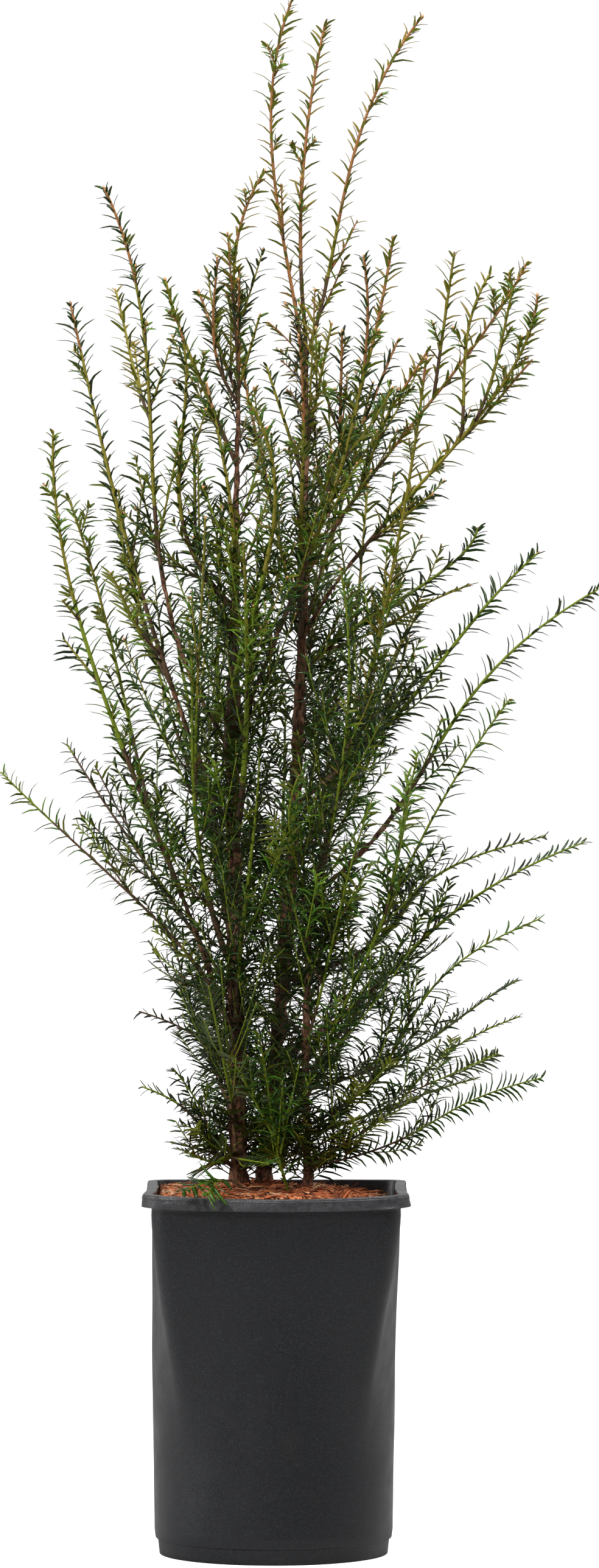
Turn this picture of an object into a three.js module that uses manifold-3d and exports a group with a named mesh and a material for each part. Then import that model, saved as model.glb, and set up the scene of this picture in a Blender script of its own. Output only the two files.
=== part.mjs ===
// A young English yew in its square-topped nursery pot, as separate solids. Millimetres, +Z up.
// +X is to the right, +Y runs away from the front, and the origin is the middle of the pot's flat underside.
import * as THREE from "three";
import { mergeVertices } from "three/addons/utils/BufferGeometryUtils.js";
import Module from "manifold-3d";

const wasm = await Module();
wasm.setup();

const GAP = 0.3; // clearance between two solids that touch on the real plant
const FINEST = 0.05; // detail smaller than this is left out of a fused solid

// ---------------------------------------------------------------- driving dimensions

const POT = {
  height: 320,
  topHalfWidth: 108.5, // outside of the wall, flat to flat, halved
  baseHalfWidth: 104,
  footHalfWidth: 100, // the narrower ring that the pot stands on
  footHeight: 13,
  wall: 1.6,
  floor: 2,
  cornerRadius: 15,
  rimOverhang: 9,
  skirt: 11, // how far the rim's edge hangs down
  lean: 2.5, // the rim stands this far to the right of the foot
  pinch: 3, // the rim's two sides are pressed in halfway along
  bulge: 7, // the front wall is pushed out at the rim
  sag: 3.5, // the front of the rim droops between its corners
  roundBelow: 0.75, // share of the height over which the square becomes a circle
  drainHoles: 6,
  drainHoleRadius: 6,
  drainCircle: 68,
};

// Angles, in degrees within a quadrant, of the points round the pot: close together at the corner.
const QUADRANT = [0, 23, 40, 45, 50, 67];
const WALL_LEVELS = [18, 110, 210, 295]; // heights at which the pot's wall changes shape

const SOIL = {
  level: 316, // the level middle, where the stems stand
  levelRadius: 0.56, // share of the pot's half width
  rightDip: 8, // the mix lies lower at the right-hand side
  leftRise: 2,
  lump: 2.2, // height of the lumps near the wall
  shrinkage: 1.3, // the mix has drawn back from the wall at its surface
};

// Stems: foot and tip on their centre lines, how far the middle sways sideways, and the radii.
const STEMS = {
  left: { foot: [-30, 0], tip: [-31, -5, 1000], sway: [-6, 0], radius: 7.3, tipRadius: 1.7, flare: 3.2 },
  middle: { foot: [-10, 28], tip: [28, 10, 1069], sway: [15, 0], radius: 6.4, tipRadius: 1.8, flare: 2.8 },
  right: { foot: [30, -22], tip: [34, -30, 580], sway: [-5, 3], radius: 3.3, tipRadius: 2.2, flare: 1.4 },
};
const STEM_FULLNESS = 1.5; // above 1, a stem keeps its thickness longer before it tapers
const FLARE_HEIGHT = 13;

// Limbs. Each leaves its stem at a height and ends at a tip [x, y, z]. right and back push its line that way,
// at a third and at two thirds of its height. bough is the bare share of a limb, and one without it is leafy
// from the stem on. twig is the usual length of its side twigs. A fork leaves the limb's line at a height.
const LIMBS = [
  { name: "top_left", on: "middle", from: 1030, tip: [15, -10, 1356], right: [-8, -45], twig: 22 },
  { name: "top_middle", on: "middle", from: 1069, tip: [45, 15, 1340], right: [-16, -14], twig: 18 },
  { name: "top_right", on: "middle", from: 1046, tip: [129, 0, 1344], right: [2, -44], twig: 22 },
  {
    name: "left_crown", on: "left", from: 1000, tip: [-30, -8, 1122], twig: 30,
    forks: [
      { at: 1030, tip: [-9, -14, 1207], right: [-10, -30] },
      { at: 1006, tip: [-49, -27, 1131], right: [-26, -8] },
      { at: 1010, tip: [-66, 27, 1106] },
      { at: 1018, tip: [-12, -42, 1080] },
    ],
  },
  {
    name: "left_tall", on: "left", from: 700, tip: [-147, -40, 1191], right: [-79, 40], bough: 0.3, twig: 40,
    forks: [{ at: 990, tip: [-139, 30, 1107], right: [-6, 0], back: [20, 10] }],
  },
  {
    name: "left_upper", on: "left", from: 624, tip: [-178, 10, 1093],
    right: [-25, -14], bough: 0.28, twig: 34,
    forks: [
      { at: 786, tip: [-141, -72, 855], right: [-12, 0] },
      { at: 760, tip: [-150, 70, 960], right: [-20, 0] },
    ],
  },
  {
    name: "left_long", on: "left", from: 432, tip: [-192, -30, 979], right: [8, -60], bough: 0.26, twig: 30,
    forks: [
      { at: 640, tip: [-181, 42, 925], right: [0, 10], back: [30, 20] },
      { at: 816, tip: [-183, -46, 832] },
      { at: 760, tip: [-184, 4, 800] },
    ],
  },
  {
    name: "left_low", on: "left", from: 485, tip: [-183, 62, 708], right: [5, -4], twig: 30,
    forks: [
      { at: 600, tip: [-159, 84, 689] },
      { at: 580, tip: [-167, 24, 644], right: [-8, 0] },
    ],
  },
  {
    name: "left_lowest", on: "left", from: 412, tip: [-236, -52, 683], right: [85, 18], twig: 24,
    forks: [
      { at: 560, tip: [-168, -12, 645], right: [-12, 0] },
      { at: 470, tip: [-105, 14, 526] },
    ],
  },
  { name: "left_small", on: "left", from: 388, tip: [-118, 22, 473], right: [-5, 66], twig: 16 },
  {
    name: "left_foot", on: "left", from: 335, tip: [-114, -46, 410], right: [-16, 40], twig: 18,
    forks: [
      { at: 356, tip: [-87, -66, 427], right: [10, 8] },
      { at: 350, tip: [-90, -14, 360] },
    ],
  },
  { name: "left_inner", on: "left", from: 950, tip: [-94, -30, 1111], right: [0, -8], twig: 34 },
  {
    name: "left_upright", on: "left", from: 827, tip: [-80, -62, 1065], right: [-72, 5], twig: 42,
    forks: [{ at: 870, tip: [-70, 16, 985] }],
  },
  {
    name: "left_front", on: "left", from: 506, tip: [-70, -92, 784], right: [-30, -12], twig: 48,
    forks: [{ at: 640, tip: [-58, -128, 900], right: [-6, 0] }],
  },
  { name: "crossing", on: "left", from: 704, tip: [78, -90, 1127], right: [10, 60], bough: 0.24, twig: 44 },
  { name: "front_arched", on: "left", from: 667, tip: [-22, -115, 1004], right: [-36, 76], twig: 46 },
  {
    name: "inner_right", on: "middle", from: 880, tip: [105, 42, 1153], right: [13, 12], twig: 40,
    forks: [
      { at: 960, tip: [60, 8, 1069] },
      { at: 950, tip: [110, 66, 1066], right: [10, 0] },
      { at: 905, tip: [76, 58, 985] },
    ],
  },
  {
    name: "right_upper", on: "middle", from: 848, tip: [222, 22, 1130],
    right: [-24, 18], bough: 0.24, twig: 36,
    forks: [
      { at: 1012, tip: [158, 4, 1137] },
      { at: 930, tip: [135, 10, 1053], right: [-16, -6] },
    ],
  },
  {
    name: "right_bent", on: "middle", from: 795, tip: [230, -24, 1098],
    right: [-32, 62], bough: 0.24, twig: 30,
    forks: [
      { at: 990, tip: [208, -50, 1104], right: [8, 2] },
      { at: 975, tip: [189, 4, 1119], right: [-2, -22] },
      { at: 970, tip: [225, 6, 1043], right: [5, 0] },
      { at: 886, tip: [137, -46, 924] },
    ],
  },
  {
    name: "right_middle", on: "middle", from: 750, tip: [180, 52, 898], right: [-66, 42], twig: 36,
    forks: [{ at: 790, tip: [170, -34, 846], right: [20, -12] }],
  },
  {
    name: "right_wide", on: "middle", from: 656, tip: [232, 28, 876], right: [40, -12], twig: 34,
    forks: [{ at: 690, tip: [148, 74, 790] }],
  },
  { name: "right_far", on: "middle", from: 560, tip: [283, 0, 843], right: [56, -74], bough: 0.26, twig: 34 },
  {
    name: "front_right", on: "right", from: 410, tip: [203, -95, 745],
    right: [0, -28], back: [-10, -6], twig: 42,
    forks: [{ at: 560, tip: [124, -118, 700] }],
  },
  {
    name: "front_stem", on: "right", from: 446, tip: [84, -104, 656], right: [4, -8], twig: 42,
    forks: [{ at: 500, tip: [12, -96, 590], right: [-12, 0] }],
  },
  {
    name: "front_tall", on: "right", from: 548, tip: [58, -112, 856],
    right: [15, 28], back: [-20, -10], twig: 46,
  },
  { name: "red_rod", on: "right", from: 580, tip: [132, -70, 1040], right: [10, 16], twig: 40 },
  { name: "right_arch_upper", on: "middle", from: 500, tip: [239, 40, 627], right: [88, -108], twig: 32 },
  {
    name: "right_arch", on: "middle", from: 432, tip: [270, -26, 622],
    right: [33, -74], bough: 0.24, twig: 32,
  },
  { name: "right_curve", on: "right", from: 374, tip: [230, -66, 556], right: [54, -84], twig: 30 },
  {
    name: "right_level", on: "middle", from: 396, tip: [214, 26, 500], right: [78, 4], twig: 30,
    forks: [{ at: 425, tip: [100, 62, 530] }],
  },
  {
    name: "right_low", on: "right", from: 346, tip: [212, -80, 472], right: [52, -54], twig: 28,
    forks: [
      { at: 404, tip: [193, -104, 441] },
      { at: 356, tip: [46, -66, 476] },
    ],
  },
  {
    name: "right_low_back", on: "middle", from: 356, tip: [178, 66, 412],
    right: [30, -10], back: [10, 20], twig: 30,
  },
  {
    name: "right_foot", on: "right", from: 338, tip: [233, -34, 417], right: [58, -42], twig: 22,
    forks: [{ at: 346, tip: [70, -78, 384] }],
  },
  {
    name: "front_basal", foot: [14, -45], tip: [-13, -80, 457], right: [-8, 2], twig: 26,
    forks: [
      { at: 366, tip: [-36, -76, 436] },
      { at: 348, tip: [22, -78, 430] },
      { at: 336, tip: [-8, -40, 420], right: [-10, 4] },
    ],
  },
  {
    name: "rim_spray", on: "left", from: 350, tip: [-64, -112, 342], twig: 22,
    forks: [{ at: 348, tip: [-4, -104, 346] }],
  },
  { name: "front_spray", on: "right", from: 566, tip: [22, -130, 680], right: [-10, -22], twig: 26 },
  {
    name: "back_low_right", on: "middle", from: 348, tip: [75, 175, 520], back: [40, 10], twig: 44,
    forks: [{ at: 400, tip: [136, 130, 560], right: [10, 0] }],
  },
  {
    name: "back_low_left", on: "left", from: 366, tip: [-85, 165, 500], back: [40, 10], twig: 38,
    forks: [{ at: 410, tip: [-98, 128, 560], right: [-10, 0] }],
  },
  {
    name: "back_middle", on: "middle", from: 450, tip: [10, 200, 740], back: [20, 30], twig: 58,
    forks: [{ at: 560, tip: [62, 178, 800], back: [10, 0] }],
  },
  {
    name: "back_left", on: "left", from: 520, tip: [-95, 165, 840], back: [20, 30], twig: 56,
    forks: [
      { at: 640, tip: [-140, 120, 900], right: [-10, 0] },
      { at: 620, tip: [-48, 160, 930], back: [20, 0] },
    ],
  },
  {
    name: "back_right", on: "middle", from: 590, tip: [130, 160, 830], back: [20, 20], twig: 56,
    forks: [{ at: 690, tip: [84, 168, 940], back: [20, 0] }],
  },
  {
    name: "back_upper", on: "middle", from: 680, tip: [30, 170, 1010], back: [20, 40], twig: 52,
    forks: [
      { at: 800, tip: [-30, 126, 1050], back: [10, 0] },
      { at: 810, tip: [88, 110, 1030], right: [10, 0] },
    ],
  },
  {
    name: "front_low", on: "left", from: 372, tip: [-55, -150, 500], back: [-30, -10], twig: 38,
    forks: [
      { at: 392, tip: [-46, -66, 520] },
      { at: 388, tip: [-18, -52, 480] },
    ],
  },
  {
    name: "front_upper", on: "middle", from: 800, tip: [22, -90, 1058],
    right: [-6, 10], back: [-30, -30], twig: 44,
    forks: [
      { at: 940, tip: [-6, -74, 1034] },
      { at: 950, tip: [50, -62, 1070] },
    ],
  },
  {
    name: "inner_low", on: "left", from: 452, tip: [-12, -62, 706],
    right: [-8, 6], back: [-20, -10], twig: 46,
  },
  {
    name: "inner_left", on: "left", from: 610, tip: [-26, -60, 880],
    right: [12, 8], back: [-30, -20], twig: 48,
  },
  {
    name: "inner_top", on: "left", from: 770, tip: [-58, -36, 1020],
    right: [16, 14], back: [-20, -30], twig: 46,
  },
];

// How limbs are made.
const LIMB = {
  startShare: 0.5, // a limb's radius at its stem, as a share of the stem's
  mostRadius: 3,
  forkRadius: 1.4,
  tipRadius: 1,
  boughSides: 6,
  boughRings: 6,
  rods: 10, // straight rods that stand for a limb when others keep clear of it
};
// Side twigs leave on alternate sides at a steady spacing, up to where a limb's last growth begins. They are
// longest low on the limb. Only one in keepOne becomes solid.
const TWIG = {
  spacing: 20,
  keepOne: 6,
  until: 0.52,
  angle: 30,
  spread: 80,
  lift: 0.35,
  radius: 1.2,
  lengthAtFoot: 2.4,
  lengthAtTip: 0.2,
  shortest: 0.75,
  longest: 1.25,
};
// Teeth stand out of a shoot's three-sided core. Each is larger than life and stands for a row of needles.
const TOOTH = {
  length: 24,
  angle: 52, // away from the shoot
  root: 5, // left bare at the foot of a shoot
  segment: 41, // length of core that carries two rings of teeth
  low: 0.24, // shares of a segment at which its two rings stand
  high: 0.74,
  fan: 24, // angle by which the two rings turn away from the face they share
  twist: 35, // turn of the core from one segment to the next
  thickness: 0.8,
};
const CLEARANCE = 0.5; // least gap between a tooth or twig and what is next to it
const RIM_CLEARANCE = 3; // height of the lowest tooth above the pot

// ---------------------------------------------------------------- small helpers

const lerp = (a, b, t) => a + (b - a) * t;
const clamp01 = (t) => Math.min(1, Math.max(0, t));
const smooth = (t) => clamp01(t) ** 2 * (3 - 2 * clamp01(t));
const radians = (degrees) => (degrees * Math.PI) / 180;
const vec = (x, y, z) => new THREE.Vector3(x, y, z);

// The seeded rule's numbers: from 0 to 1, the same for the same three counters.
function chance(a, b, c) {
  const wave = Math.sin(a * 127.1 + b * 311.7 + c * 74.7) * 43758.5453;
  return wave - Math.floor(wave);
}

// A triangle list as an indexed geometry, and a geometry as a manifold solid and back.
function geometryOf(points, triangles) {
  const geometry = new THREE.BufferGeometry().setFromPoints(points);
  geometry.setIndex(triangles);
  return geometry;
}

function solidOf(geometry) {
  const bare = geometry.clone();
  bare.deleteAttribute("normal");
  bare.deleteAttribute("uv");
  const merged = mergeVertices(bare, 1e-4);
  return new wasm.Manifold(
    new wasm.Mesh({
      numProp: 3,
      vertProperties: new Float32Array(merged.attributes.position.array),
      triVerts: new Uint32Array(merged.index.array),
    }),
  );
}

function geometryFrom(solid) {
  const mesh = solid.getMesh();
  const geometry = new THREE.BufferGeometry();
  geometry.setAttribute("position", new THREE.BufferAttribute(new Float32Array(mesh.vertProperties), 3));
  geometry.setIndex(new THREE.BufferAttribute(new Uint32Array(mesh.triVerts), 1));
  return geometry;
}

// The largest connected body of a solid. Slivers and loose scraps left by a cut are dropped.
function largestBody(solid) {
  const bodies = solid.simplify(FINEST).decompose();
  return bodies.reduce((best, body) => (body.volume() > best.volume() ? body : best));
}

// A closed solid through rings of points, each ring anticlockwise seen from its successor's side, with a fan
// over the first and the last ring. A quad's diagonal climbs the same way whether the rings rise or fall, so
// that an inner wall stays parallel to the solid that stands in it.
function loft(rings) {
  const count = rings[0].length;
  const points = rings.flat();
  const triangles = [];
  for (let k = 0; k + 1 < rings.length; k++) {
    const falling = rings[k + 1][0].z < rings[k][0].z;
    for (let i = 0; i < count; i++) {
      const j = (i + 1) % count;
      const [a, b, c, d] = [k * count + i, k * count + j, (k + 1) * count + j, (k + 1) * count + i];
      triangles.push(...(falling ? [a, b, d, b, c, d] : [a, b, c, a, c, d]));
    }
  }
  for (const [k, turned] of [[0, true], [rings.length - 1, false]]) {
    const centre = points.length;
    points.push(rings[k].reduce((sum, p) => sum.add(p), vec(0, 0, 0)).divideScalar(count));
    for (let i = 0; i < count; i++) {
      const [a, b] = [k * count + i, k * count + ((i + 1) % count)];
      triangles.push(...(turned ? [b, a, centre] : [a, b, centre]));
    }
  }
  return geometryOf(points, triangles);
}

// ---------------------------------------------------------------- pot and potting mix

// Distance from the axis to a square of half width a with rounded corners, in a direction.
function roundedSquare(a, corner, angle) {
  const [c, s] = [Math.abs(Math.cos(angle)), Math.abs(Math.sin(angle))];
  const flat = a / Math.max(c, s);
  if (flat * Math.min(c, s) <= a - corner) return flat;
  const reach = (a - corner) * (c + s);
  return reach + Math.sqrt(reach ** 2 - 2 * (a - corner) ** 2 + corner ** 2);
}

// A point of the pot's outside, moved inwards by inset: round at the foot, square at the rim, where the
// sides are pinched, and the front bulges and sags.
function potPoint(angle, z, inset) {
  const up = z / POT.height;
  const roundness = smooth((1 - up) / POT.roundBelow);
  const half = lerp(POT.baseHalfWidth, POT.topHalfWidth, up) - inset;
  const corner = Math.max(2, POT.cornerRadius - inset);
  const radius = lerp(roundedSquare(half, corner, angle), half, roundness);
  const [x, y] = [radius * Math.cos(angle), radius * Math.sin(angle)];
  const upperHalf = smooth((up - 0.5) / 0.5);
  const atRim = smooth((up - 0.92) / 0.06);
  const acrossSide = Math.max(0, 1 - (y / half) ** 2);
  const acrossFront = Math.max(0, 1 - (x / half) ** 2);
  const towardsFront = smooth(-y / half);
  return vec(
    x + POT.lean * upperHalf - POT.pinch * atRim * acrossSide * (x / half),
    y - POT.bulge * upperHalf * acrossFront * towardsFront,
    z - POT.sag * atRim * acrossFront * towardsFront,
  );
}

const potAngles = [0, 90, 180, 270].flatMap((start) => QUADRANT.map((a) => radians(start + a)));
const potRing = (inset, z) => potAngles.map((angle) => potPoint(angle, z, inset));

function potSolid() {
  const top = POT.height;
  const footInset = POT.baseHalfWidth - POT.footHalfWidth;
  const [outside, inside] = [0, POT.wall];
  const underRim = top - POT.wall;
  const skirtInside = -(POT.rimOverhang - 1.2);
  const rings = [
    potRing(footInset + 1, 0),
    potRing(footInset, 1.5),
    potRing(footInset - 1, POT.footHeight),
    potRing(outside + 0.8, POT.footHeight + 1.5),
    ...WALL_LEVELS.map((z) => potRing(outside, z)),
    potRing(outside, underRim),
    potRing(skirtInside, underRim),
    potRing(skirtInside, top - POT.skirt),
    potRing(-POT.rimOverhang, top - POT.skirt),
    potRing(-POT.rimOverhang, top - 1),
    potRing(-POT.rimOverhang + 1, top),
    potRing(inside - 0.8, top),
    potRing(inside, top - 1),
    ...WALL_LEVELS.toReversed().map((z) => potRing(inside, z)),
    potRing(footInset + POT.wall, POT.footHeight),
    potRing(footInset + POT.wall, POT.floor),
  ];
  const holes = Array.from({ length: POT.drainHoles }, (_, i) => {
    const angle = (2 * Math.PI * (i + 0.5)) / POT.drainHoles;
    const hole = new THREE.CylinderGeometry(POT.drainHoleRadius, POT.drainHoleRadius, POT.floor * 3, 6);
    hole.rotateX(Math.PI / 2);
    hole.translate(POT.drainCircle * Math.cos(angle), POT.drainCircle * Math.sin(angle), POT.floor / 2);
    return solidOf(hole);
  });
  return holes.reduce((pot, hole) => pot.subtract(hole), solidOf(loft(rings)));
}

// Height of the potting mix at a point: level in the middle, lower at the right, lumpy near the wall.
function soilHeight(x, y) {
  const half = POT.topHalfWidth;
  const outwards = smooth((Math.hypot(x, y) / half - SOIL.levelRadius) / (1 - SOIL.levelRadius));
  const lumps = SOIL.lump * Math.sin(x * 0.11 + 1) * Math.sin(y * 0.13 + 2);
  const slope = x > 0 ? -SOIL.rightDip * (x / half) : -SOIL.leftRise * (x / half);
  return SOIL.level + outwards * (slope + lumps - 2.5);
}

function soilSolid() {
  const inset = POT.wall + 0.4;
  const footInset = POT.baseHalfWidth - POT.footHalfWidth + inset;
  const edge = potRing(inset + SOIL.shrinkage, SOIL.level);
  const surface = (share) =>
    edge.map(({ x, y }) => vec(x * share, y * share, soilHeight(x * share, y * share)));
  return solidOf(
    loft([
      potRing(footInset, POT.floor + GAP),
      potRing(footInset, POT.footHeight),
      ...WALL_LEVELS.map((z) => potRing(inset, z)),
      surface(1),
      surface(0.78),
      surface(SOIL.levelRadius),
    ]),
  );
}

// ---------------------------------------------------------------- lines, stems and boughs

// A cubic from start to tip, whose two inner knots are pushed off the straight line between them.
function cubic(start, tip, lowPush, highPush) {
  const low = start.clone().lerp(tip, 1 / 3).add(lowPush);
  const high = start.clone().lerp(tip, 2 / 3).add(highPush);
  const curve = new THREE.CubicBezierCurve3(start, low, high, tip);
  const flat = vec(tip.x - start.x, tip.y - start.y, 0);
  const side = flat.length() > 1 ? vec(-flat.y, flat.x, 0).normalize() : vec(0, 1, 0);
  return { curve, side, length: curve.getLength(), at: (t) => curve.getPoint(t) };
}

// Across-directions of a line at a share of its way: one sideways, one square to it.
function acrossOf(line, t) {
  const tangent = line.curve.getTangent(t);
  const first = line.side.clone().addScaledVector(tangent, -line.side.dot(tangent)).normalize();
  return { tangent, first, second: tangent.clone().cross(first) };
}

function ringRound(line, t, radius, sides, turn = 0) {
  const { first, second } = acrossOf(line, t);
  const centre = line.at(t);
  return Array.from({ length: sides }, (_, i) => {
    const angle = turn + (2 * Math.PI * i) / sides;
    return centre
      .clone()
      .addScaledVector(first, radius * Math.cos(angle))
      .addScaledVector(second, radius * Math.sin(angle));
  });
}

function stemLine({ foot, tip, sway }) {
  const push = vec(sway[0], sway[1], 0);
  return cubic(vec(foot[0], foot[1], SOIL.level + GAP), vec(...tip), push, push);
}

function stemRadius(stem, t) {
  const height = t * (stem.tip[2] - SOIL.level);
  const shaft = lerp(stem.radius, stem.tipRadius, t ** STEM_FULLNESS);
  return shaft + stem.flare * Math.exp(-height / FLARE_HEIGHT);
}

// A stem has level rings, so its foot is a flat cut. grow makes the larger copy that cuts its neighbours.
function stemSolid(name, grow = 0) {
  const stem = STEMS[name];
  const line = stemLine(stem);
  const sides = 9;
  const shares = [0, 0.012, 0.035, 0.1, 0.22, 0.38, 0.55, 0.72, 0.87, 1];
  return solidOf(
    loft(
      shares.map((t) => {
        const centre = line.at(t);
        const radius = stemRadius(stem, t) + grow;
        const lift = grow * (t === 0 ? -1 : t === 1 ? 1 : 0);
        return Array.from({ length: sides }, (_, i) => {
          const angle = (2 * Math.PI * i) / sides;
          return centre.clone().add(vec(radius * Math.cos(angle), radius * Math.sin(angle), lift));
        });
      }),
    ),
  );
}

// The line of a limb or a fork, from a point to its tip.
function limbLine(start, { tip, right = [0, 0], back = [0, 0] }) {
  return cubic(start, vec(...tip), vec(right[0], back[0], 0), vec(right[1], back[1], 0));
}

const shareAtHeight = (line, z) => clamp01((z - line.at(0).z) / (line.at(1).z - line.at(0).z));

function limbStart(limb) {
  if (limb.foot) {
    return { point: vec(...limb.foot, SOIL.level + 2 * GAP), radius: LIMB.forkRadius, stemHalf: 0 };
  }
  const stem = STEMS[limb.on];
  const line = stemLine(stem);
  const t = shareAtHeight(line, limb.from);
  const stemHalf = stemRadius(stem, t);
  const radius = Math.min(LIMB.mostRadius, Math.max(LIMB.forkRadius, stemHalf * LIMB.startShare));
  return { point: line.at(t), radius, stemHalf };
}

// ---------------------------------------------------------------- keeping to one's own space

// A patch is a triangle with a thickness; with two equal corners it is a rod. All that is placed becomes
// patches, so that a twig or tooth that would touch something else is skipped.
const placedPatches = [];

function patch(owner, node, a, b, c, radius) {
  const centre = a.clone().add(b).add(c).divideScalar(3);
  const reach = Math.max(...[a, b, c].map((corner) => corner.distanceTo(centre))) + radius;
  return { owner, node, face: new THREE.Triangle(a, b, c), centre, reach, radius };
}

const isRod = ({ face: { b, c } }) => b.equals(c);
const edgesOfTriangle = ({ a, b, c }) => [[a, b], [b, c], [c, a]];
const edgesOf = (p) => (isRod(p) ? [[p.face.a, p.face.b]] : edgesOfTriangle(p.face));
const cornersOf = ({ face: { a, b, c } }) => [a, b, c];

// Distance between the segments a-b and c-d.
function segmentGap([a, b], [c, d]) {
  const [u, v, w] = [b.clone().sub(a), d.clone().sub(c), a.clone().sub(c)];
  const [uu, vv, uv, uw, vw] = [u.dot(u), v.dot(v), u.dot(v), u.dot(w), v.dot(w)];
  const spread = uu * vv - uv * uv;
  let s = spread > 1e-9 ? clamp01((uv * vw - vv * uw) / spread) : 0;
  const t = clamp01((uv * s + vw) / vv);
  s = clamp01((uv * t - uw) / uu);
  return a.clone().addScaledVector(u, s).distanceTo(c.clone().addScaledVector(v, t));
}

function crosses([a, b], { face }) {
  const way = b.clone().sub(a);
  const ray = new THREE.Ray(a, way.clone().normalize());
  const hit = ray.intersectTriangle(face.a, face.b, face.c, false, vec(0, 0, 0));
  return hit !== null && hit.distanceTo(a) <= way.length();
}

function tooClose(p, q) {
  const room = p.radius + q.radius + CLEARANCE;
  if (p.centre.distanceTo(q.centre) > p.reach + q.reach + CLEARANCE) return false;
  const nearest = vec(0, 0, 0);
  const nearFace = (from, to) =>
    cornersOf(from).some((corner) => to.face.closestPointToPoint(corner, nearest).distanceTo(corner) < room);
  return (
    edgesOf(p).some((edge) => edgesOf(q).some((other) => segmentGap(edge, other) < room)) ||
    nearFace(p, q) ||
    nearFace(q, p) ||
    edgesOf(p).some((edge) => crosses(edge, q)) ||
    edgesOf(q).some((edge) => crosses(edge, p))
  );
}

// Everything over the pot stays above its rim and the potting mix.
function clearOfPot({ x, y, z }) {
  const reach = POT.topHalfWidth + POT.rimOverhang + POT.bulge;
  return Math.max(Math.abs(x), Math.abs(y)) > reach || z > POT.height + RIM_CLEARANCE;
}

const isClear = (candidate, ignore) =>
  cornersOf(candidate).every(clearOfPot) && !placedPatches.some((p) => !ignore(p) && tooClose(candidate, p));

// Rods along a line between two shares of it.
function rodsAlong(owner, node, line, from, to, radius, pieces) {
  return Array.from({ length: pieces }, (_, i) => {
    const [a, b] = [line.at(lerp(from, to, i / pieces)), line.at(lerp(from, to, (i + 1) / pieces))];
    return patch(owner, node, a, b, b, radius);
  });
}

// ---------------------------------------------------------------- twigs and needles

// A direction that leans away from a line by an angle, towards one side of it.
function leaning({ tangent, first, second }, turn, lean) {
  return tangent
    .clone()
    .multiplyScalar(Math.cos(lean))
    .addScaledVector(first, Math.sin(lean) * Math.cos(turn))
    .addScaledVector(second, Math.sin(lean) * Math.sin(turn));
}

// A shoot is a three-sided core that tapers to a point. Each face of each segment is two triangles, low and
// high, and a tooth is drawn out of each, so that they fan out to both sides of the face.
function shootSolid(shoot) {
  const { line, from, root, radius, node, seed } = shoot;
  const toothedFrom = from + root / line.length;
  const segments = Math.max(2, Math.round(((1 - toothedFrom) * line.length) / TOOTH.segment));
  const shareOf = (k) => (k < 0 ? from : lerp(toothedFrom, 1, k / segments));
  const turnOf = (k) => seed + radians(TOOTH.twist) * k;
  const points = [];
  for (let k = -1; k < segments; k++) {
    points.push(...ringRound(line, shareOf(k), lerp(radius, LIMB.tipRadius, k / segments), 3, turnOf(k)));
  }
  const tip = points.push(line.at(1)) - 1;
  const triangles = [2, 1, 0];
  const addTooth = (k, up, faceTurn, [a, b, c]) => {
    const t = shareOf(k + up);
    const way = leaning(acrossOf(line, t), turnOf(k + up) + faceTurn, radians(TOOTH.angle));
    const apex = line.at(t).addScaledVector(way, TOOTH.length);
    const tooth = patch(shoot, node, line.at(shareOf(k)), line.at(shareOf(k + 1)), apex, TOOTH.thickness);
    if (isClear(tooth, (p) => p.owner === shoot || (p.owner === shoot.parent && isRod(p)))) {
      placedPatches.push(tooth);
      const peak = points.push(apex) - 1;
      triangles.push(a, b, peak, b, c, peak, c, a, peak);
    } else {
      triangles.push(a, b, c);
    }
  };
  for (let k = -1; k < segments; k++) {
    for (let i = 0; i < 3; i++) {
      const [here, next] = [3 * (k + 1) + i, 3 * (k + 1) + ((i + 1) % 3)];
      const middle = ((i + 0.5) * 2 * Math.PI) / 3;
      if (k < 0) {
        triangles.push(here, next, next + 3, here, next + 3, here + 3);
      } else if (k + 1 === segments) {
        addTooth(k, 0.5, middle, [here, next, tip]);
      } else {
        addTooth(k, TOOTH.low, middle + radians(TOOTH.fan), [here, next, next + 3]);
        addTooth(k, TOOTH.high, middle - radians(TOOTH.fan), [here, next + 3, here + 3]);
      }
    }
  }
  return solidOf(geometryOf(points, triangles));
}

// The side twigs of a shoot, each curving upwards.
function sideTwigs(shoot, usualLength, serial) {
  const { line, from, node } = shoot;
  const leafyLength = (1 - from) * line.length;
  const count = Math.floor((leafyLength * TWIG.until) / TWIG.spacing);
  const twigs = [];
  for (let i = 1; i <= count; i++) {
    if ((i + serial) % TWIG.keepOne) continue;
    const t = lerp(from, 1, (i * TWIG.spacing) / leafyLength);
    const turn = (i % 2) * Math.PI + radians(TWIG.spread) * (2 * chance(serial, i, 1) - 1);
    const taper = lerp(TWIG.lengthAtFoot, TWIG.lengthAtTip, t);
    const length = usualLength * taper * lerp(TWIG.shortest, TWIG.longest, chance(serial, i, 2));
    const start = line.at(t);
    const way = leaning(acrossOf(line, t), turn, radians(TWIG.angle));
    const tip = start.clone().addScaledVector(way, length).add(vec(0, 0, TWIG.lift * length));
    const dip = vec(0, 0, (-TWIG.lift * length) / 4);
    twigs.push({
      node,
      line: cubic(start, tip, dip, dip),
      from: 0,
      root: TOOTH.root,
      radius: TWIG.radius,
      seed: i,
      parent: shoot,
    });
  }
  return twigs;
}

// ---------------------------------------------------------------- the plant

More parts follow.
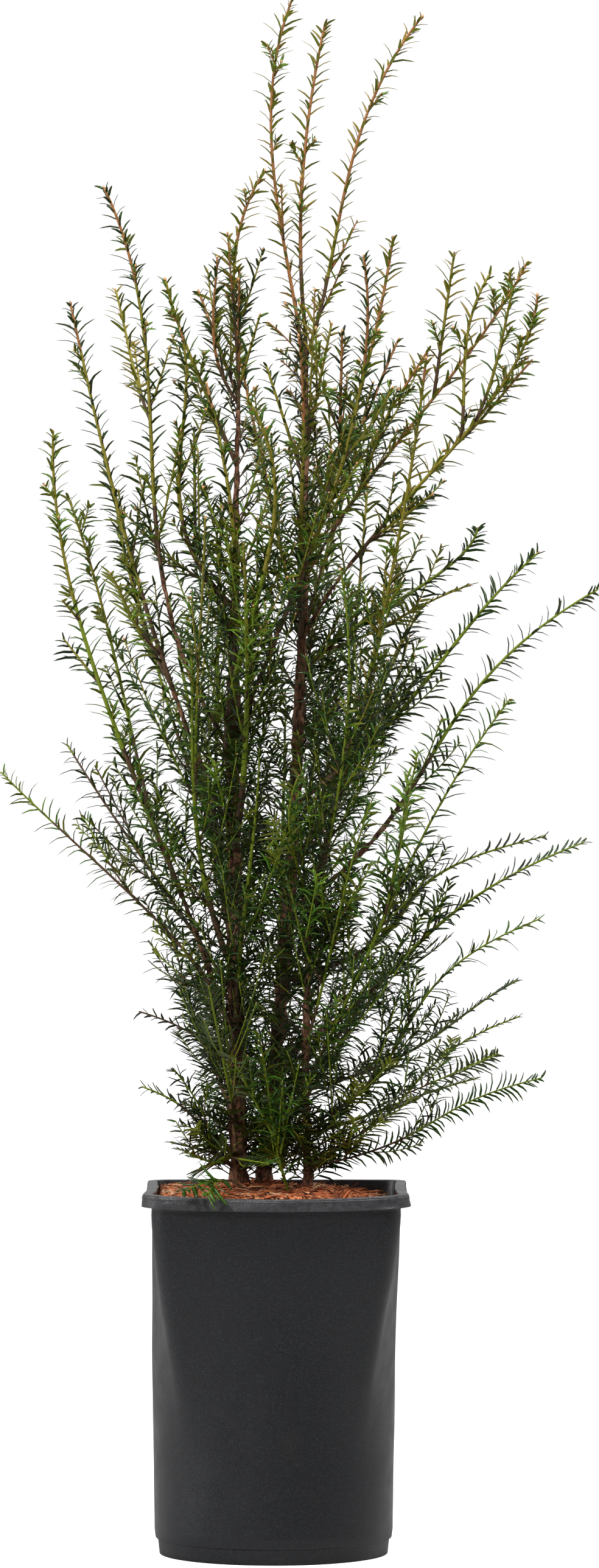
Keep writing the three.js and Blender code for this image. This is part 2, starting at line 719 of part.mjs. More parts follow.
// Each limb with its line and its shoots: the limb's own leafy part first, then its forks.
const limbs = LIMBS.map((limb, serial) => {
  const { point, radius, stemHalf } = limbStart(limb);
  const line = limbLine(point, limb);
  const bare = limb.bough ?? 0;
  const node = "needles_" + limb.name;
  const leafyFrom = bare ? bare + GAP / line.length : 0;
  const root = bare ? 1 : TOOTH.root + stemHalf;
  const leafyRadius = lerp(radius, LIMB.tipRadius, bare);
  const leader = { node, line, from: leafyFrom, root, radius: leafyRadius, seed: serial };
  const forks = (limb.forks ?? []).map((fork, k) => ({
    node,
    line: limbLine(line.at(shareAtHeight(line, fork.at)), fork),
    from: 0,
    root: TOOTH.root,
    radius: LIMB.forkRadius,
    seed: serial + k + 1,
    parent: leader,
  }));
  return { ...limb, serial, line, radius, bare, node, shoots: [leader, ...forks] };
});

// Stems, boughs and the limbs' own lines can't be skipped, so they take their space first, then the twigs.
const STEM_RODS = 12;
for (const [name, stem] of Object.entries(STEMS)) {
  const line = stemLine(stem);
  for (let k = 0; k < STEM_RODS; k++) {
    const [low, high] = [k / STEM_RODS, (k + 1) / STEM_RODS];
    placedPatches.push(...rodsAlong(stem, "stem_" + name, line, low, high, stemRadius(stem, low), 1));
  }
}
for (const limb of limbs) {
  const { line, bare, radius } = limb;
  if (bare) placedPatches.push(...rodsAlong(limb, "bough_" + limb.name, line, 0, bare, radius, LIMB.rods));
  for (const shoot of limb.shoots) {
    placedPatches.push(...rodsAlong(shoot, shoot.node, shoot.line, shoot.from, 1, shoot.radius, LIMB.rods));
  }
}
for (const limb of limbs) {
  limb.twigs = limb.shoots
    .flatMap((shoot, k) => sideTwigs(shoot, limb.twig, limb.serial * 7 + k))
    .filter((twig) => {
      const rods = rodsAlong(twig, twig.node, twig.line, 0, 1, twig.radius, 3);
      const clear = rods.every((rod) => isClear(rod, ({ owner }) => owner === twig.parent));
      if (clear) placedPatches.push(...rods);
      return clear;
    });
}

const stemCutters = Object.fromEntries(Object.keys(STEMS).map((name) => [name, stemSolid(name, GAP)]));

function boughSolid(limb) {
  const rings = Array.from({ length: LIMB.boughRings }, (_, k) => {
    const t = (limb.bare * k) / (LIMB.boughRings - 1);
    return ringRound(limb.line, t, lerp(limb.radius, LIMB.tipRadius, t), LIMB.boughSides);
  });
  return largestBody(solidOf(loft(rings)).subtract(stemCutters[limb.on]));
}

function massSolid(limb) {
  const fused = [...limb.shoots, ...limb.twigs].map(shootSolid).reduce((all, solid) => all.add(solid));
  return largestBody(limb.on && !limb.bare ? fused.subtract(stemCutters[limb.on]) : fused);
}

const MATERIALS = {
  pot: new THREE.MeshStandardMaterial({ color: 0x2b2b2d, roughness: 0.5 }),
  soil: new THREE.MeshStandardMaterial({ color: 0x9a5a34, roughness: 0.95 }),
  bark: new THREE.MeshStandardMaterial({ color: 0x6d4a37, roughness: 0.9 }),
  needles: new THREE.MeshStandardMaterial({ color: 0x274a1c, roughness: 0.45 }),
};

const plant = new THREE.Group();

function place(name, solid, material) {
  const mesh = new THREE.Mesh(geometryFrom(solid), MATERIALS[material]);
  mesh.name = name;
  plant.add(mesh);
}

place("pot", potSolid(), "pot");
place("potting_mix", soilSolid(), "soil");
for (const name of Object.keys(STEMS)) place("stem_" + name, stemSolid(name), "bark");
for (const limb of limbs.filter(({ bare }) => bare)) place("bough_" + limb.name, boughSolid(limb), "bark");
for (const limb of limbs) place(limb.node, massSolid(limb), "needles");

export default plant;
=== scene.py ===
"""A young English yew in its square-topped nursery pot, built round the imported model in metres, +Z up."""
import math

import bpy
import numpy as np
from bpy.props import FloatProperty, FloatVectorProperty, IntProperty, PointerProperty
from bpy.types import Operator, Panel, PropertyGroup
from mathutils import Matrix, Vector


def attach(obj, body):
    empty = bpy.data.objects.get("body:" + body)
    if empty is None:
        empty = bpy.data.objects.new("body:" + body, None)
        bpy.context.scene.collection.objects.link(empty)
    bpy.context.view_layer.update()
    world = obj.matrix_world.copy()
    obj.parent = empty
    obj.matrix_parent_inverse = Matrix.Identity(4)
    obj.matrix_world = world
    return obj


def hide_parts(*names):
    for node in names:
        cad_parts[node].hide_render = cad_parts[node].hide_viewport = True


bl_info = {
    "name": "Potted Yew",
    "version": (1, 0, 0),
    "blender": (4, 5, 0),
    "location": "View3D > Sidebar > Potted Yew",
    "description": "Grows a potted English yew on its stems and limbs, with its pot and potting mix",
    "category": "Add Mesh",
}

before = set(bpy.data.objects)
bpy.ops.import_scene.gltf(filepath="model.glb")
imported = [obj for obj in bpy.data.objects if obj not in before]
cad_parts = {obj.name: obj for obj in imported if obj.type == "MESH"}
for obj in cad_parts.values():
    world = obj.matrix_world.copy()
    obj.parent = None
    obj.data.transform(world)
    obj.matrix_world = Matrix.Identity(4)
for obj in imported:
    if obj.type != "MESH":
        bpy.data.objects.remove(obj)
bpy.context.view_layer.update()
MM = 0.001  # the shapes are worked out in millimetres, as the solids are

# ------------------------------------------------------------------ sizes as in the solids, in millimetres

POT = {
    "height": 320, "top_half": 108.5, "base_half": 104, "foot_half": 100, "foot_height": 13,
    "wall": 1.6, "floor": 2, "corner": 15, "overhang": 9, "skirt": 11, "lean": 2.5, "pinch": 3,
    "bulge": 7, "sag": 3.5, "round_below": 0.75, "upper_from": 0.5, "rim_from": 0.92, "rim_over": 0.06,
    "holes": 6, "hole_radius": 6, "hole_circle": 68,
}
SOIL = {"level": 316, "level_radius": 0.56, "right_dip": 8, "left_rise": 2, "wall_dip": 2.5, "lump": 2.2,
        "lump_x": 0.11, "lump_y": 0.13, "off_the_wall": 0.4, "shrinkage": 1.3}
GAP = 0.3

STEMS = {
    "left": {"foot": (-30, 0), "tip": (-31, -5, 1000), "sway": (-6, 0), "radius": 7.3, "tip_radius": 1.7,
             "flare": 3.2},
    "middle": {"foot": (-10, 28), "tip": (28, 10, 1069), "sway": (15, 0), "radius": 6.4, "tip_radius": 1.8,
               "flare": 2.8},
    "right": {"foot": (30, -22), "tip": (34, -30, 580), "sway": (-5, 3), "radius": 3.3, "tip_radius": 2.2,
              "flare": 1.4},
}
STEM_FULLNESS = 1.5  # above 1, a stem keeps its thickness longer before it tapers
FLARE_HEIGHT = 13


def limb(name, on, start, tip, right=(0, 0), back=(0, 0), bough=0.0, twig=50, forks=(), foot=None):
    """A limb leaves its stem at a height and ends at a tip. right and back push its line at a third and two
    thirds of its way. bough is its bare share, twig the usual length of its side twigs."""
    return {"name": name, "on": on, "start": start, "tip": tip, "right": right, "back": back,
            "bough": bough, "twig": twig, "forks": forks, "foot": foot}


def fork(at, tip, right=(0, 0), back=(0, 0)):
    """A fork leaves its limb's line at a height and ends at its own tip."""
    return {"at": at, "tip": tip, "right": right, "back": back}


LIMBS = (
    limb("top_left", "middle", 1030, (15, -10, 1356), right=(-8, -45), twig=22),
    limb("top_middle", "middle", 1069, (45, 15, 1340), right=(-16, -14), twig=18),
    limb("top_right", "middle", 1046, (129, 0, 1344), right=(2, -44), twig=22),
    limb("left_crown", "left", 1000, (-30, -8, 1122), twig=30, forks=(
        fork(1030, (-9, -14, 1207), right=(-10, -30)),
        fork(1006, (-49, -27, 1131), right=(-26, -8)),
        fork(1010, (-66, 27, 1106)),
        fork(1018, (-12, -42, 1080)),
    )),
    limb("left_tall", "left", 700, (-147, -40, 1191), right=(-79, 40), bough=0.3, twig=40, forks=(
        fork(990, (-139, 30, 1107), right=(-6, 0), back=(20, 10)),
    )),
    limb("left_upper", "left", 624, (-178, 10, 1093), right=(-25, -14), bough=0.28, twig=34, forks=(
        fork(786, (-141, -72, 855), right=(-12, 0)),
        fork(760, (-150, 70, 960), right=(-20, 0)),
    )),
    limb("left_long", "left", 432, (-192, -30, 979), right=(8, -60), bough=0.26, twig=30, forks=(
        fork(640, (-181, 42, 925), right=(0, 10), back=(30, 20)),
        fork(816, (-183, -46, 832)),
        fork(760, (-184, 4, 800)),
    )),
    limb("left_low", "left", 485, (-183, 62, 708), right=(5, -4), twig=30, forks=(
        fork(600, (-159, 84, 689)),
        fork(580, (-167, 24, 644), right=(-8, 0)),
    )),
    limb("left_lowest", "left", 412, (-236, -52, 683), right=(85, 18), twig=24, forks=(
        fork(560, (-168, -12, 645), right=(-12, 0)),
        fork(470, (-105, 14, 526)),
    )),
    limb("left_small", "left", 388, (-118, 22, 473), right=(-5, 66), twig=16),
    limb("left_foot", "left", 335, (-114, -46, 410), right=(-16, 40), twig=18, forks=(
        fork(356, (-87, -66, 427), right=(10, 8)),
        fork(350, (-90, -14, 360)),
    )),
    limb("left_inner", "left", 950, (-94, -30, 1111), right=(0, -8), twig=34),
    limb("left_upright", "left", 827, (-80, -62, 1065), right=(-72, 5), twig=42, forks=(
        fork(870, (-70, 16, 985)),
    )),
    limb("left_front", "left", 506, (-70, -92, 784), right=(-30, -12), twig=48, forks=(
        fork(640, (-58, -128, 900), right=(-6, 0)),
    )),
    limb("crossing", "left", 704, (78, -90, 1127), right=(10, 60), bough=0.24, twig=44),
    limb("front_arched", "left", 667, (-22, -115, 1004), right=(-36, 76), twig=46),
    limb("inner_right", "middle", 880, (105, 42, 1153), right=(13, 12), twig=40, forks=(
        fork(960, (60, 8, 1069)),
        fork(950, (110, 66, 1066), right=(10, 0)),
        fork(905, (76, 58, 985)),
    )),
    limb("right_upper", "middle", 848, (222, 22, 1130), right=(-24, 18), bough=0.24, twig=36, forks=(
        fork(1012, (158, 4, 1137)),
        fork(930, (135, 10, 1053), right=(-16, -6)),
    )),
    limb("right_bent", "middle", 795, (230, -24, 1098), right=(-32, 62), bough=0.24, twig=30, forks=(
        fork(990, (208, -50, 1104), right=(8, 2)),
        fork(975, (189, 4, 1119), right=(-2, -22)),
        fork(970, (225, 6, 1043), right=(5, 0)),
        fork(886, (137, -46, 924)),
    )),
    limb("right_middle", "middle", 750, (180, 52, 898), right=(-66, 42), twig=36, forks=(
        fork(790, (170, -34, 846), right=(20, -12)),
    )),
    limb("right_wide", "middle", 656, (232, 28, 876), right=(40, -12), twig=34, forks=(
        fork(690, (148, 74, 790)),
    )),
    limb("right_far", "middle", 560, (283, 0, 843), right=(56, -74), bough=0.26, twig=34),
    limb("front_right", "right", 410, (203, -95, 745), right=(0, -28), back=(-10, -6), twig=42, forks=(
        fork(560, (124, -118, 700)),
    )),
    limb("front_stem", "right", 446, (84, -104, 656), right=(4, -8), twig=42, forks=(
        fork(500, (12, -96, 590), right=(-12, 0)),
    )),
    limb("front_tall", "right", 548, (58, -112, 856), right=(15, 28), back=(-20, -10), twig=46),
    limb("red_rod", "right", 580, (132, -70, 1040), right=(10, 16), twig=40),
    limb("right_arch_upper", "middle", 500, (239, 40, 627), right=(88, -108), twig=32),
    limb("right_arch", "middle", 432, (270, -26, 622), right=(33, -74), bough=0.24, twig=32),
    limb("right_curve", "right", 374, (230, -66, 556), right=(54, -84), twig=30),
    limb("right_level", "middle", 396, (214, 26, 500), right=(78, 4), twig=30, forks=(
        fork(425, (100, 62, 530)),
    )),
    limb("right_low", "right", 346, (212, -80, 472), right=(52, -54), twig=28, forks=(
        fork(404, (193, -104, 441)),
        fork(356, (46, -66, 476)),
    )),
    limb("right_low_back", "middle", 356, (178, 66, 412), right=(30, -10), back=(10, 20), twig=30),
    limb("right_foot", "right", 338, (233, -34, 417), right=(58, -42), twig=22, forks=(
        fork(346, (70, -78, 384)),
    )),
    limb("front_basal", None, None, (-13, -80, 457), right=(-8, 2), twig=26, foot=(14, -45), forks=(
        fork(366, (-36, -76, 436)),
        fork(348, (22, -78, 430)),
        fork(336, (-8, -40, 420), right=(-10, 4)),
    )),
    limb("rim_spray", "left", 350, (-64, -112, 342), twig=22, forks=(
        fork(348, (-4, -104, 346)),
    )),
    limb("front_spray", "right", 566, (22, -130, 680), right=(-10, -22), twig=26),
    limb("back_low_right", "middle", 348, (75, 175, 520), back=(40, 10), twig=44, forks=(
        fork(400, (136, 130, 560), right=(10, 0)),
    )),
    limb("back_low_left", "left", 366, (-85, 165, 500), back=(40, 10), twig=38, forks=(
        fork(410, (-98, 128, 560), right=(-10, 0)),
    )),
    limb("back_middle", "middle", 450, (10, 200, 740), back=(20, 30), twig=58, forks=(
        fork(560, (62, 178, 800), back=(10, 0)),
    )),
    limb("back_left", "left", 520, (-95, 165, 840), back=(20, 30), twig=56, forks=(
        fork(640, (-140, 120, 900), right=(-10, 0)),
        fork(620, (-48, 160, 930), back=(20, 0)),
    )),
    limb("back_right", "middle", 590, (130, 160, 830), back=(20, 20), twig=56, forks=(
        fork(690, (84, 168, 940), back=(20, 0)),
    )),
    limb("back_upper", "middle", 680, (30, 170, 1010), back=(20, 40), twig=52, forks=(
        fork(800, (-30, 126, 1050), back=(10, 0)),
        fork(810, (88, 110, 1030), right=(10, 0)),
    )),
    limb("front_low", "left", 372, (-55, -150, 500), back=(-30, -10), twig=38, forks=(
        fork(392, (-46, -66, 520)),
        fork(388, (-18, -52, 480)),
    )),
    limb("front_upper", "middle", 800, (22, -90, 1058),
         right=(-6, 10), back=(-30, -30), twig=44, forks=(
        fork(940, (-6, -74, 1034)),
        fork(950, (50, -62, 1070)),
    )),
    limb("inner_low", "left", 452, (-12, -62, 706), right=(-8, 6), back=(-20, -10), twig=46),
    limb("inner_left", "left", 610, (-26, -60, 880), right=(12, 8), back=(-30, -20), twig=48),
    limb("inner_top", "left", 770, (-58, -36, 1020), right=(16, 14), back=(-20, -30), twig=46),
)

# How limbs and their side twigs grow, as in the solids, but with every twig instead of one in a few.
LIMB = {"start_share": 0.5, "most_radius": 3, "fork_radius": 1.4, "tip_radius": 1, "fork_age": 0.6}
TWIG = {"spacing": 20, "until": 0.52, "angle": 30, "spread": 80, "lift": 0.35, "radius": 1.2, "at_foot": 2.4,
        "at_tip": 0.2, "shortest": 0.75, "longest": 1.25, "kept": 6, "age": 0.75, "serials": 31}
LIMB_SERIALS = 7  # a limb and its forks have this many numbers in the seeded rule
ROOT = 5  # left bare at the foot of a shoot
# The share of side twigs left out, by height and by distance from the crown's middle.
OPEN = {"from": 800, "over": 260, "high": 0.8, "full_below": 480, "middle": 15, "near": 45, "reach": 110,
        "outer": 1.0, "most": 0.95}
# Finer twigs than the solids carry, on the long side twigs.
FINE = {"spacing": 16, "until": 0.66, "share": 0.4, "spread": 60, "length": 0.36, "at_tip": 0.6,
        "shortest": 0.7, "longest": 1.3, "radius": 0.8, "root": 3, "serials": 13}
# Short spurs with close needles, on shoots that end high up.
SPUR = {"above": 900, "first": 0.3, "last": 0.9, "spacing": 30, "share": 0.5, "length": 14, "shortest": 0.6,
        "longest": 1.3, "angle": 42, "radius": 1.0, "root": 1, "serials": 17, "paler": 0.4, "pitch": 0.4}
# Shoots straight from the stems: all round near the foot, then one in every few.
STEM_TWIG = {"from": 324, "spacing": 1.45, "ring_to": 372, "full_to": 420, "bare_to": 480, "every": (1, 4, 8),
             "length": 64, "at_foot": 1.3, "at_tip": 0.6, "shortest": 0.7, "longest": 1.3, "low_length": 0.6,
             "slope": 48, "low_slope": 62, "sag": 0.06, "inner": 100, "root": 2, "serial": 5000,
             "serials": 97}
# The shoots that hang over the rim: where each starts and ends, and how far it rises between.
RIM_SHOOTS = (((-32, -94, 331), (-76, -141, 325)), ((-44, -96, 331), (-56, -145, 322)))
RIM_RISE, RIM_SERIAL = 5.0, 7000
REGIONS = {
    "top": ("top_", "left_crown"),
    "left": ("left_",),
    "right": ("right_", "red_rod"),
    "front": ("front_", "rim_", "crossing"),
    "back": ("back_",),
    "inner": ("inner_",),
}
SMALL_LEAVED = (
    "left_lowest", "left_low", "left_small", "left_foot", "right_foot", "right_low", "right_low_back",
    "right_level", "stem_left", "stem_middle", "stem_right", "back_low_left", "back_low_right", "front_low",
)

GOLDEN_ANGLE = math.radians(137.508)
# Stations along a needle: share of its length, half width and height of the ridge as shares of the full ones.
NEEDLE_STATIONS = ((0.0, 0.3, 0.6), (0.12, 1.0, 1.0), (0.5, 0.97, 1.0), (0.84, 0.66, 0.8))
NEEDLE = {
    "upright_from": 0.54, "upright_over": 0.3,  # shoots this steep bear needles all round
    "crowding": 1.25,  # above 1, needles stand closer together towards a shoot's tip
    "slip": 0.5,  # how far a needle may be off its even place, as a share of the pitch
    "round": 1.3, "parted": 10, "lean": 9,  # how far its direction may be off, the first in radians
    "roll": 30, "upright_roll": 50,  # how far it may be turned about itself
    "foot": 0.6, "foot_reach": 0.16,  # needles at a shoot's foot are smaller
    "shortest": 0.7, "longest": 1.16, "tip": 0.5,
    "least_curl": 0.65, "most_curl": 1.05, "closer_curl": 0.5,
    "hang": -0.24, "broad_hang": -0.5,
    "sunk": 0.5,  # where it starts, as a share of the shoot's radius
    "point": 0.3,  # height of its tip, as a share of its thickness
}
NEEDLE_MIDDLE, NEEDLE_TESTED = 7, (-1, 4, 7)  # its middle point, and the points that have to clear the pot
TIP_GROWTH = 26  # the last length of a shoot, where its needles are short and stand closer to it
SMALL_LEAF = 0.86  # the size of the small-leaved limbs' needles, as a share of the others'
BROAD_LEAF, BROAD_PITCH = 1.7, 1.2  # the shoots over the rim have broad needles that stand further apart
CLOSER = 0.8  # how much closer to their shoot the highest needles stand, next to those at a tip
SMALLER_FROM, SMALLER_OVER = 420, 700  # needles above this height grow smaller over this range
# Few needles stand right in front of the left stem's foot, so that its bark is in sight.
SIGHT = {"stem": "left", "from": 332, "to": 500, "left": 12, "right": 6, "kept": 0.2}

# Each spray has a number. It passes from one green to the next at these steps.
TONE_STEPS = (0.5, 0.92, 1.2)
YOUNGER = 0.35  # how much paler a spray of this year is than an old one
LOW_PALER, PALER, PALER_FROM, PALER_OVER = 0.04, 0.4, 560, 400  # sprays high up are paler, over these heights
TINTS = {"front_basal": 0.25, "front_right": 0.2, "front_spray": 0.2, "front_low": -0.6}
FRESH_FROM, FRESH_SHARE = 0.86, 0.45  # the tips of so many shoots are one green paler
BRONZE_FROM, BRONZE_OVER = 940, 320  # shoots that end this high turn bronze, ever more over this range
NEEDLE_GLOSS = ((0.3, 0.2), (0.26, 0.36), (0.26, 0.36), (0.28, 0.38), (0.4, 0.2))  # roughness, specular level
UNDER_GLOSS = (0.45, 0.35)

# For each order of shoot: rings and sides of its rod, how thick it is beside the solids', and its tip's
# radius, both low on the plant and high up.
RODS = ((0, 26, 6, (1.0, 1.3), (0.75, 1.1)), (1, 16, 6, (0.9, 1.15), (0.7, 1.0)),
        (2, 8, 5, (0.75, 0.95), (0.5, 0.62)), (3, 5, 4, (0.75, 0.8), (0.45, 0.45)))
THICK_FROM, THICK_OVER = 700, 300
SMALL_ROD = 0.62  # the rods of the small-leaved limbs are slimmer again
ROD_RIPPLE = 0.12
WOODY = (0.22, 0.2, 0.16, 0.1)  # how much of a shoot of each order is brown wood, and the rest young
WOODY_LEAST, WOODY_MOST = 0.6, 1.4
WOODINESS = {  # limbs with less or more brown wood than that
    "front_basal": 0, "front_right": 0.3, "front_spray": 0, "left_lowest": 4, "left_low": 4, "left_small": 4,
    "left_foot": 3, "front_low": 0.6, "stem_left": 3, "stem_middle": 3, "stem_right": 3,
    "back_low_left": 3, "back_low_right": 3, "right_foot": 1.5, "right_low": 1.3, "right_low_back": 1.3,
    "right_level": 1.3,
}
TAN_FROM, TAN_OVER = 940, 240  # young shoots turn from green through olive to tan about this height

BUD_PROFILE = ((0.02, 0.2), (0.3, 0.36), (0.62, 0.32), (0.88, 0.14))  # reach and radius, as shares of a bud
BUD_SUNK = -0.1  # where a bud starts, as a share of its length
BUD = {"side": 0.62, "first": 0.6, "until": 0.6, "lean": 50, "smallest": 0.75, "largest": 1.2, "low": 0.5,
       "high": 1.25, "from": 620, "over": 400, "sides": 5, "tan": 0.6}

# Bark: noise sizes (along x, y and z), where a plate or knob begins and over what it rises, and its weight.
PLATES = {"size": (3.4, 3.4, 8), "seed": 3, "from": 0.42, "over": 0.14}
STRIPS = {"size": (1.7, 1.7, 3.4), "seed": 5, "weight": 0.7}
KNOBS = {"size": (9, 9, 9), "seed": 8, "from": 0.72, "over": 0.2, "weight": 1.1}
FULL_RELIEF = 5  # thinner wood than this has less relief
STEM_STEP, STEM_SIDES = 1.6, 34
RIBS = {"depth": 0.09, "reach": 30, "count": 4, "twist": 0.05}  # the roots that run down into a stem's flare
BOUGH_SHARE = 0.8  # the thickness of bare boughs, as a share of the solids'
BOUGH_RINGS, BOUGH_SIDES, BOUGH_RELIEF = 64, 14, 1.3
BOUGH_OVERLAP = 0.01  # how far a bough runs on into its leafy length, as a share of the limb

CLEAR_OF_RIM, CLEAR_OF_POT = 3, 1  # how far shoots and needles stay away
RIM_LEAN, RIM_MIDDLE = 1.8, 6  # how far the rim's face leans back over its height, and how low its middle is
# The skirt's thickness, how far the profile's corners are rounded, and the most of a side that this takes.
SKIRT_WALL, POT_EASE, LONGEST_EASE = 1.2, 1.0, 0.42
POT_STEPS, MIX_STEPS = 10, 12  # steps round each side and each corner
HOLE_SIDES, HOLE_CUT = 20, (-4, 8)
WAVES, DENTS = (46, 4), ((24, 24, 8), 9)  # noise size and seed of the wall's waves and of the rim's dents
HEAP, HEAP_REACH = 7, 19  # the loose mix round the foot of each stem
MIX = {"off_the_pot": 1.6, "from": 20, "to": 300, "levels": 24, "rings": 56, "middle": 0.03, "edge": 0.06}
MIX_LUMPS = ((3.0, 11, 2), (1.6, 4, 6))  # height, size and seed
CHIP = {"shortest": 2.5, "rarer": 4.4, "margin": 2.5, "inner": 230, "pitch": 46, "levelled": 60, "roll": 70,
        "narrow": 0.7, "wide": 2.6, "thin": 0.4, "thick": 1.3, "lift": 0.5, "pile": 1.8, "bend": 0.22}
CHIP_STATIONS = ((-0.5, 0.35), (-0.05, 1.0), (0.5, 0.25))  # place along it and width, as shares
# Shreds that stand on end: their places and lengths.
UPRIGHT_CHIPS = ((58, -70, 19), (67, -80, 14), (79, -72, 13), (-66, -92, 17), (48, -86, 12), (62, -78, 17),
                 (55, -82, 15), (72, -88, 11))
UPRIGHT_CHIP = {"pitch": 58, "half_wide": 1.9, "thick": 1.6}
FIBRE = {"margin": 3, "within": 0.86, "shortest": 5, "longest": 13, "lift": 1.2, "sway": 1.2, "foot": 0.28,
         "tip": 0.16, "rings": 8, "sides": 4}


# ------------------------------------------------------------------ number helpers

def srgb(*display):
    """A colour given in 0-255 display values, as linear light."""
    return tuple(c / 255 / 12.92 if c <= 10 else ((c / 255 + 0.055) / 1.055) ** 2.4 for c in display)


def lerp(a, b, t):
    """The value at the share t of the way from a to b."""
    return a + (b - a) * t


def smooth(t):
    """0 below 0, 1 above 1, and an S-curve between them."""
    t = np.clip(t, 0, 1)
    return t * t * (3 - 2 * t)


def fraction(value):
    """What is left of numbers over the whole one below."""
    return value - np.floor(value)


def chance(a, b, c):
    """The seeded rule's numbers, from 0 to 1: the same for the same three counters. The first is a shoot's
    serial number as a rule, and the last tells one draw for the same thing from another."""
    return fraction(np.sin(a * 127.1 + b * 311.7 + c * 74.7) * 43758.5453)


def swing(luck):
    """A chance from 0 to 1, as a number from -1 to 1."""
    return 2 * luck - 1


def unit(v):
    """Vectors at length 1."""
    return v / np.maximum(np.linalg.norm(v, axis=-1, keepdims=True), 1e-9)


def dot(a, b):
    """Dot products, kept as a last axis of one."""
    return np.sum(a * b, axis=-1, keepdims=True)


def noise(points, size, seed=0):
    """Value noise from 0 to 1: a chance at each corner of a grid of cells, blended smoothly between them. The
    size is a cell's, one number or one for each axis."""
    p = np.asarray(points, float) / np.asarray(size, float) + 57.3
    cell = np.floor(p)
    f = p - cell
    f = f * f * (3 - 2 * f)
    total = 0
    for corner in np.ndindex(2, 2, 2):
        k = cell + corner
        weight = np.prod(np.where(np.array(corner) == 1, f, 1 - f), axis=-1)
        wave = k[..., 0] * 12.9898 + k[..., 1] * 78.233 + k[..., 2] * 37.719 + seed * 4.581
        total = total + weight * fraction(np.sin(wave) * 43758.5453)
    return total


# ------------------------------------------------------------------ mesh helpers

def placed(name, data):
    """An object at the origin, in the scene."""
    made = bpy.data.objects.new(name, data)
    bpy.context.scene.collection.objects.link(made)
    return made


def add_piece(name, points, faces, materials, slot, stands_for=(), paint=None, flat=False):
    """A mesh piece from points in millimetres. faces is a list of index arrays, one for each kind (triangles,
    quads). paint gives each face's material, and flat says whether it is shaded flat."""
    mesh = bpy.data.meshes.new(name)
    faces = [np.asarray(f, np.int32) for f in faces]
    corners = np.concatenate([f.ravel() for f in faces])
    totals = np.concatenate([np.full(len(f), f.shape[1], np.int32) for f in faces])
    mesh.vertices.add(len(points))
    mesh.vertices.foreach_set("co", (np.asarray(points) * MM).astype(np.float32).ravel())
    mesh.loops.add(len(corners))
    mesh.loops.foreach_set("vertex_index", corners)
    mesh.polygons.add(len(totals))
    mesh.polygons.foreach_set("loop_start", (np.cumsum(totals) - totals).astype(np.int32))
    if paint is not None:
        mesh.polygons.foreach_set("material_index", np.asarray(paint, np.int32))
    mesh.polygons.foreach_set("use_smooth", ~np.broadcast_to(flat, len(totals)))
    mesh.update(calc_edges=True)
    mesh.validate()
    for material in materials:
        mesh.materials.append(material)
    piece = placed(name, mesh)
    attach(piece, "root")
    if stands_for:
        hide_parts(*stands_for)
    return piece


def loft_faces(rows, columns):
    """The faces of a closed loft: quads of a grid whose rows close on themselves, and a fan over its first
    and its last row. They face outwards where the rows run anticlockwise seen from the last one's side."""
    k, i = np.meshgrid(np.arange(rows - 1) * columns, np.arange(columns), indexing="ij")
    j = (i + 1) % columns
    quads = np.stack([k + i, k + j, k + columns + j, k + columns + i], -1).reshape(-1, 4)
    i, j = i[0], j[0]
    last, pole = (rows - 1) * columns, np.full(columns, rows * columns)
    fans = np.concatenate([np.stack([j, i, pole], -1), np.stack([last + i, last + j, pole + 1], -1)])
    return quads, fans


def closed_loft(rings):
    """A closed surface through rings of points (rows, columns, 3), with a pole in the first and the last."""
    points = np.concatenate([rings.reshape(-1, 3), rings[0].mean(0)[None], rings[-1].mean(0)[None]])
    return points, loft_faces(*rings.shape[:2])


def repeated(faces, copies, per_copy):
    """The faces of one small shape, of each kind, again for each of its copies."""
    step = (np.arange(copies) * per_copy)[:, None, None]
    return [(kind[None] + step).reshape(-1, kind.shape[1]) for kind in faces]


def add_copies(name, points, faces, materials, slot, stands_for=(), tone=None, flat=False):
    """A piece made of copies of one small shape, from points (copies, points of one, 3) and the faces of one.
    tone gives each copy's material."""
    copies, per_copy = points.shape[:2]
    paint = None if tone is None else np.concatenate([np.repeat(tone, len(kind)) for kind in faces])
    return add_piece(name, points.reshape(-1, 3), repeated(faces, copies, per_copy), materials, slot,
                     stands_for, paint, flat)


# ------------------------------------------------------------------ lines

def cubic(start, tip, low_push, high_push):
    """The four knots of a cubic whose inner knots are pushed off the straight line between its ends."""
    start, tip = np.asarray(start, float), np.asarray(tip, float)
    return np.stack([start, lerp(start, tip, 1 / 3) + low_push, lerp(start, tip, 2 / 3) + high_push, tip])


def along(knots, t):
    """Points of cubics at the shares t. knots has the shape (..., 4, 3)."""
    t = np.asarray(t, float)[..., None]
    a, b, c, d = (knots[..., i, :] for i in range(4))
    return (1 - t) ** 3 * a + 3 * t * (1 - t) ** 2 * b + 3 * t * t * (1 - t) * c + t ** 3 * d


def across(knots, t):
    """Tangent, level sideways direction and the one square to both, of cubics at the shares t."""
    t = np.asarray(t, float)[..., None]
    a, b, c, d = (knots[..., i, :] for i in range(4))
    tangent = unit(3 * (1 - t) ** 2 * (b - a) + 6 * t * (1 - t) * (c - b) + 3 * t * t * (d - c))
    chord = d - a
    level = np.stack([-chord[..., 1], chord[..., 0], 0 * chord[..., 0]], -1)
    upright = np.linalg.norm(level, axis=-1, keepdims=True) <= 1
    side = np.where(upright, np.array([0.0, 1.0, 0.0]), unit(level))
    first = unit(side - dot(side, tangent) * tangent)
    return tangent, first, np.cross(tangent, first)


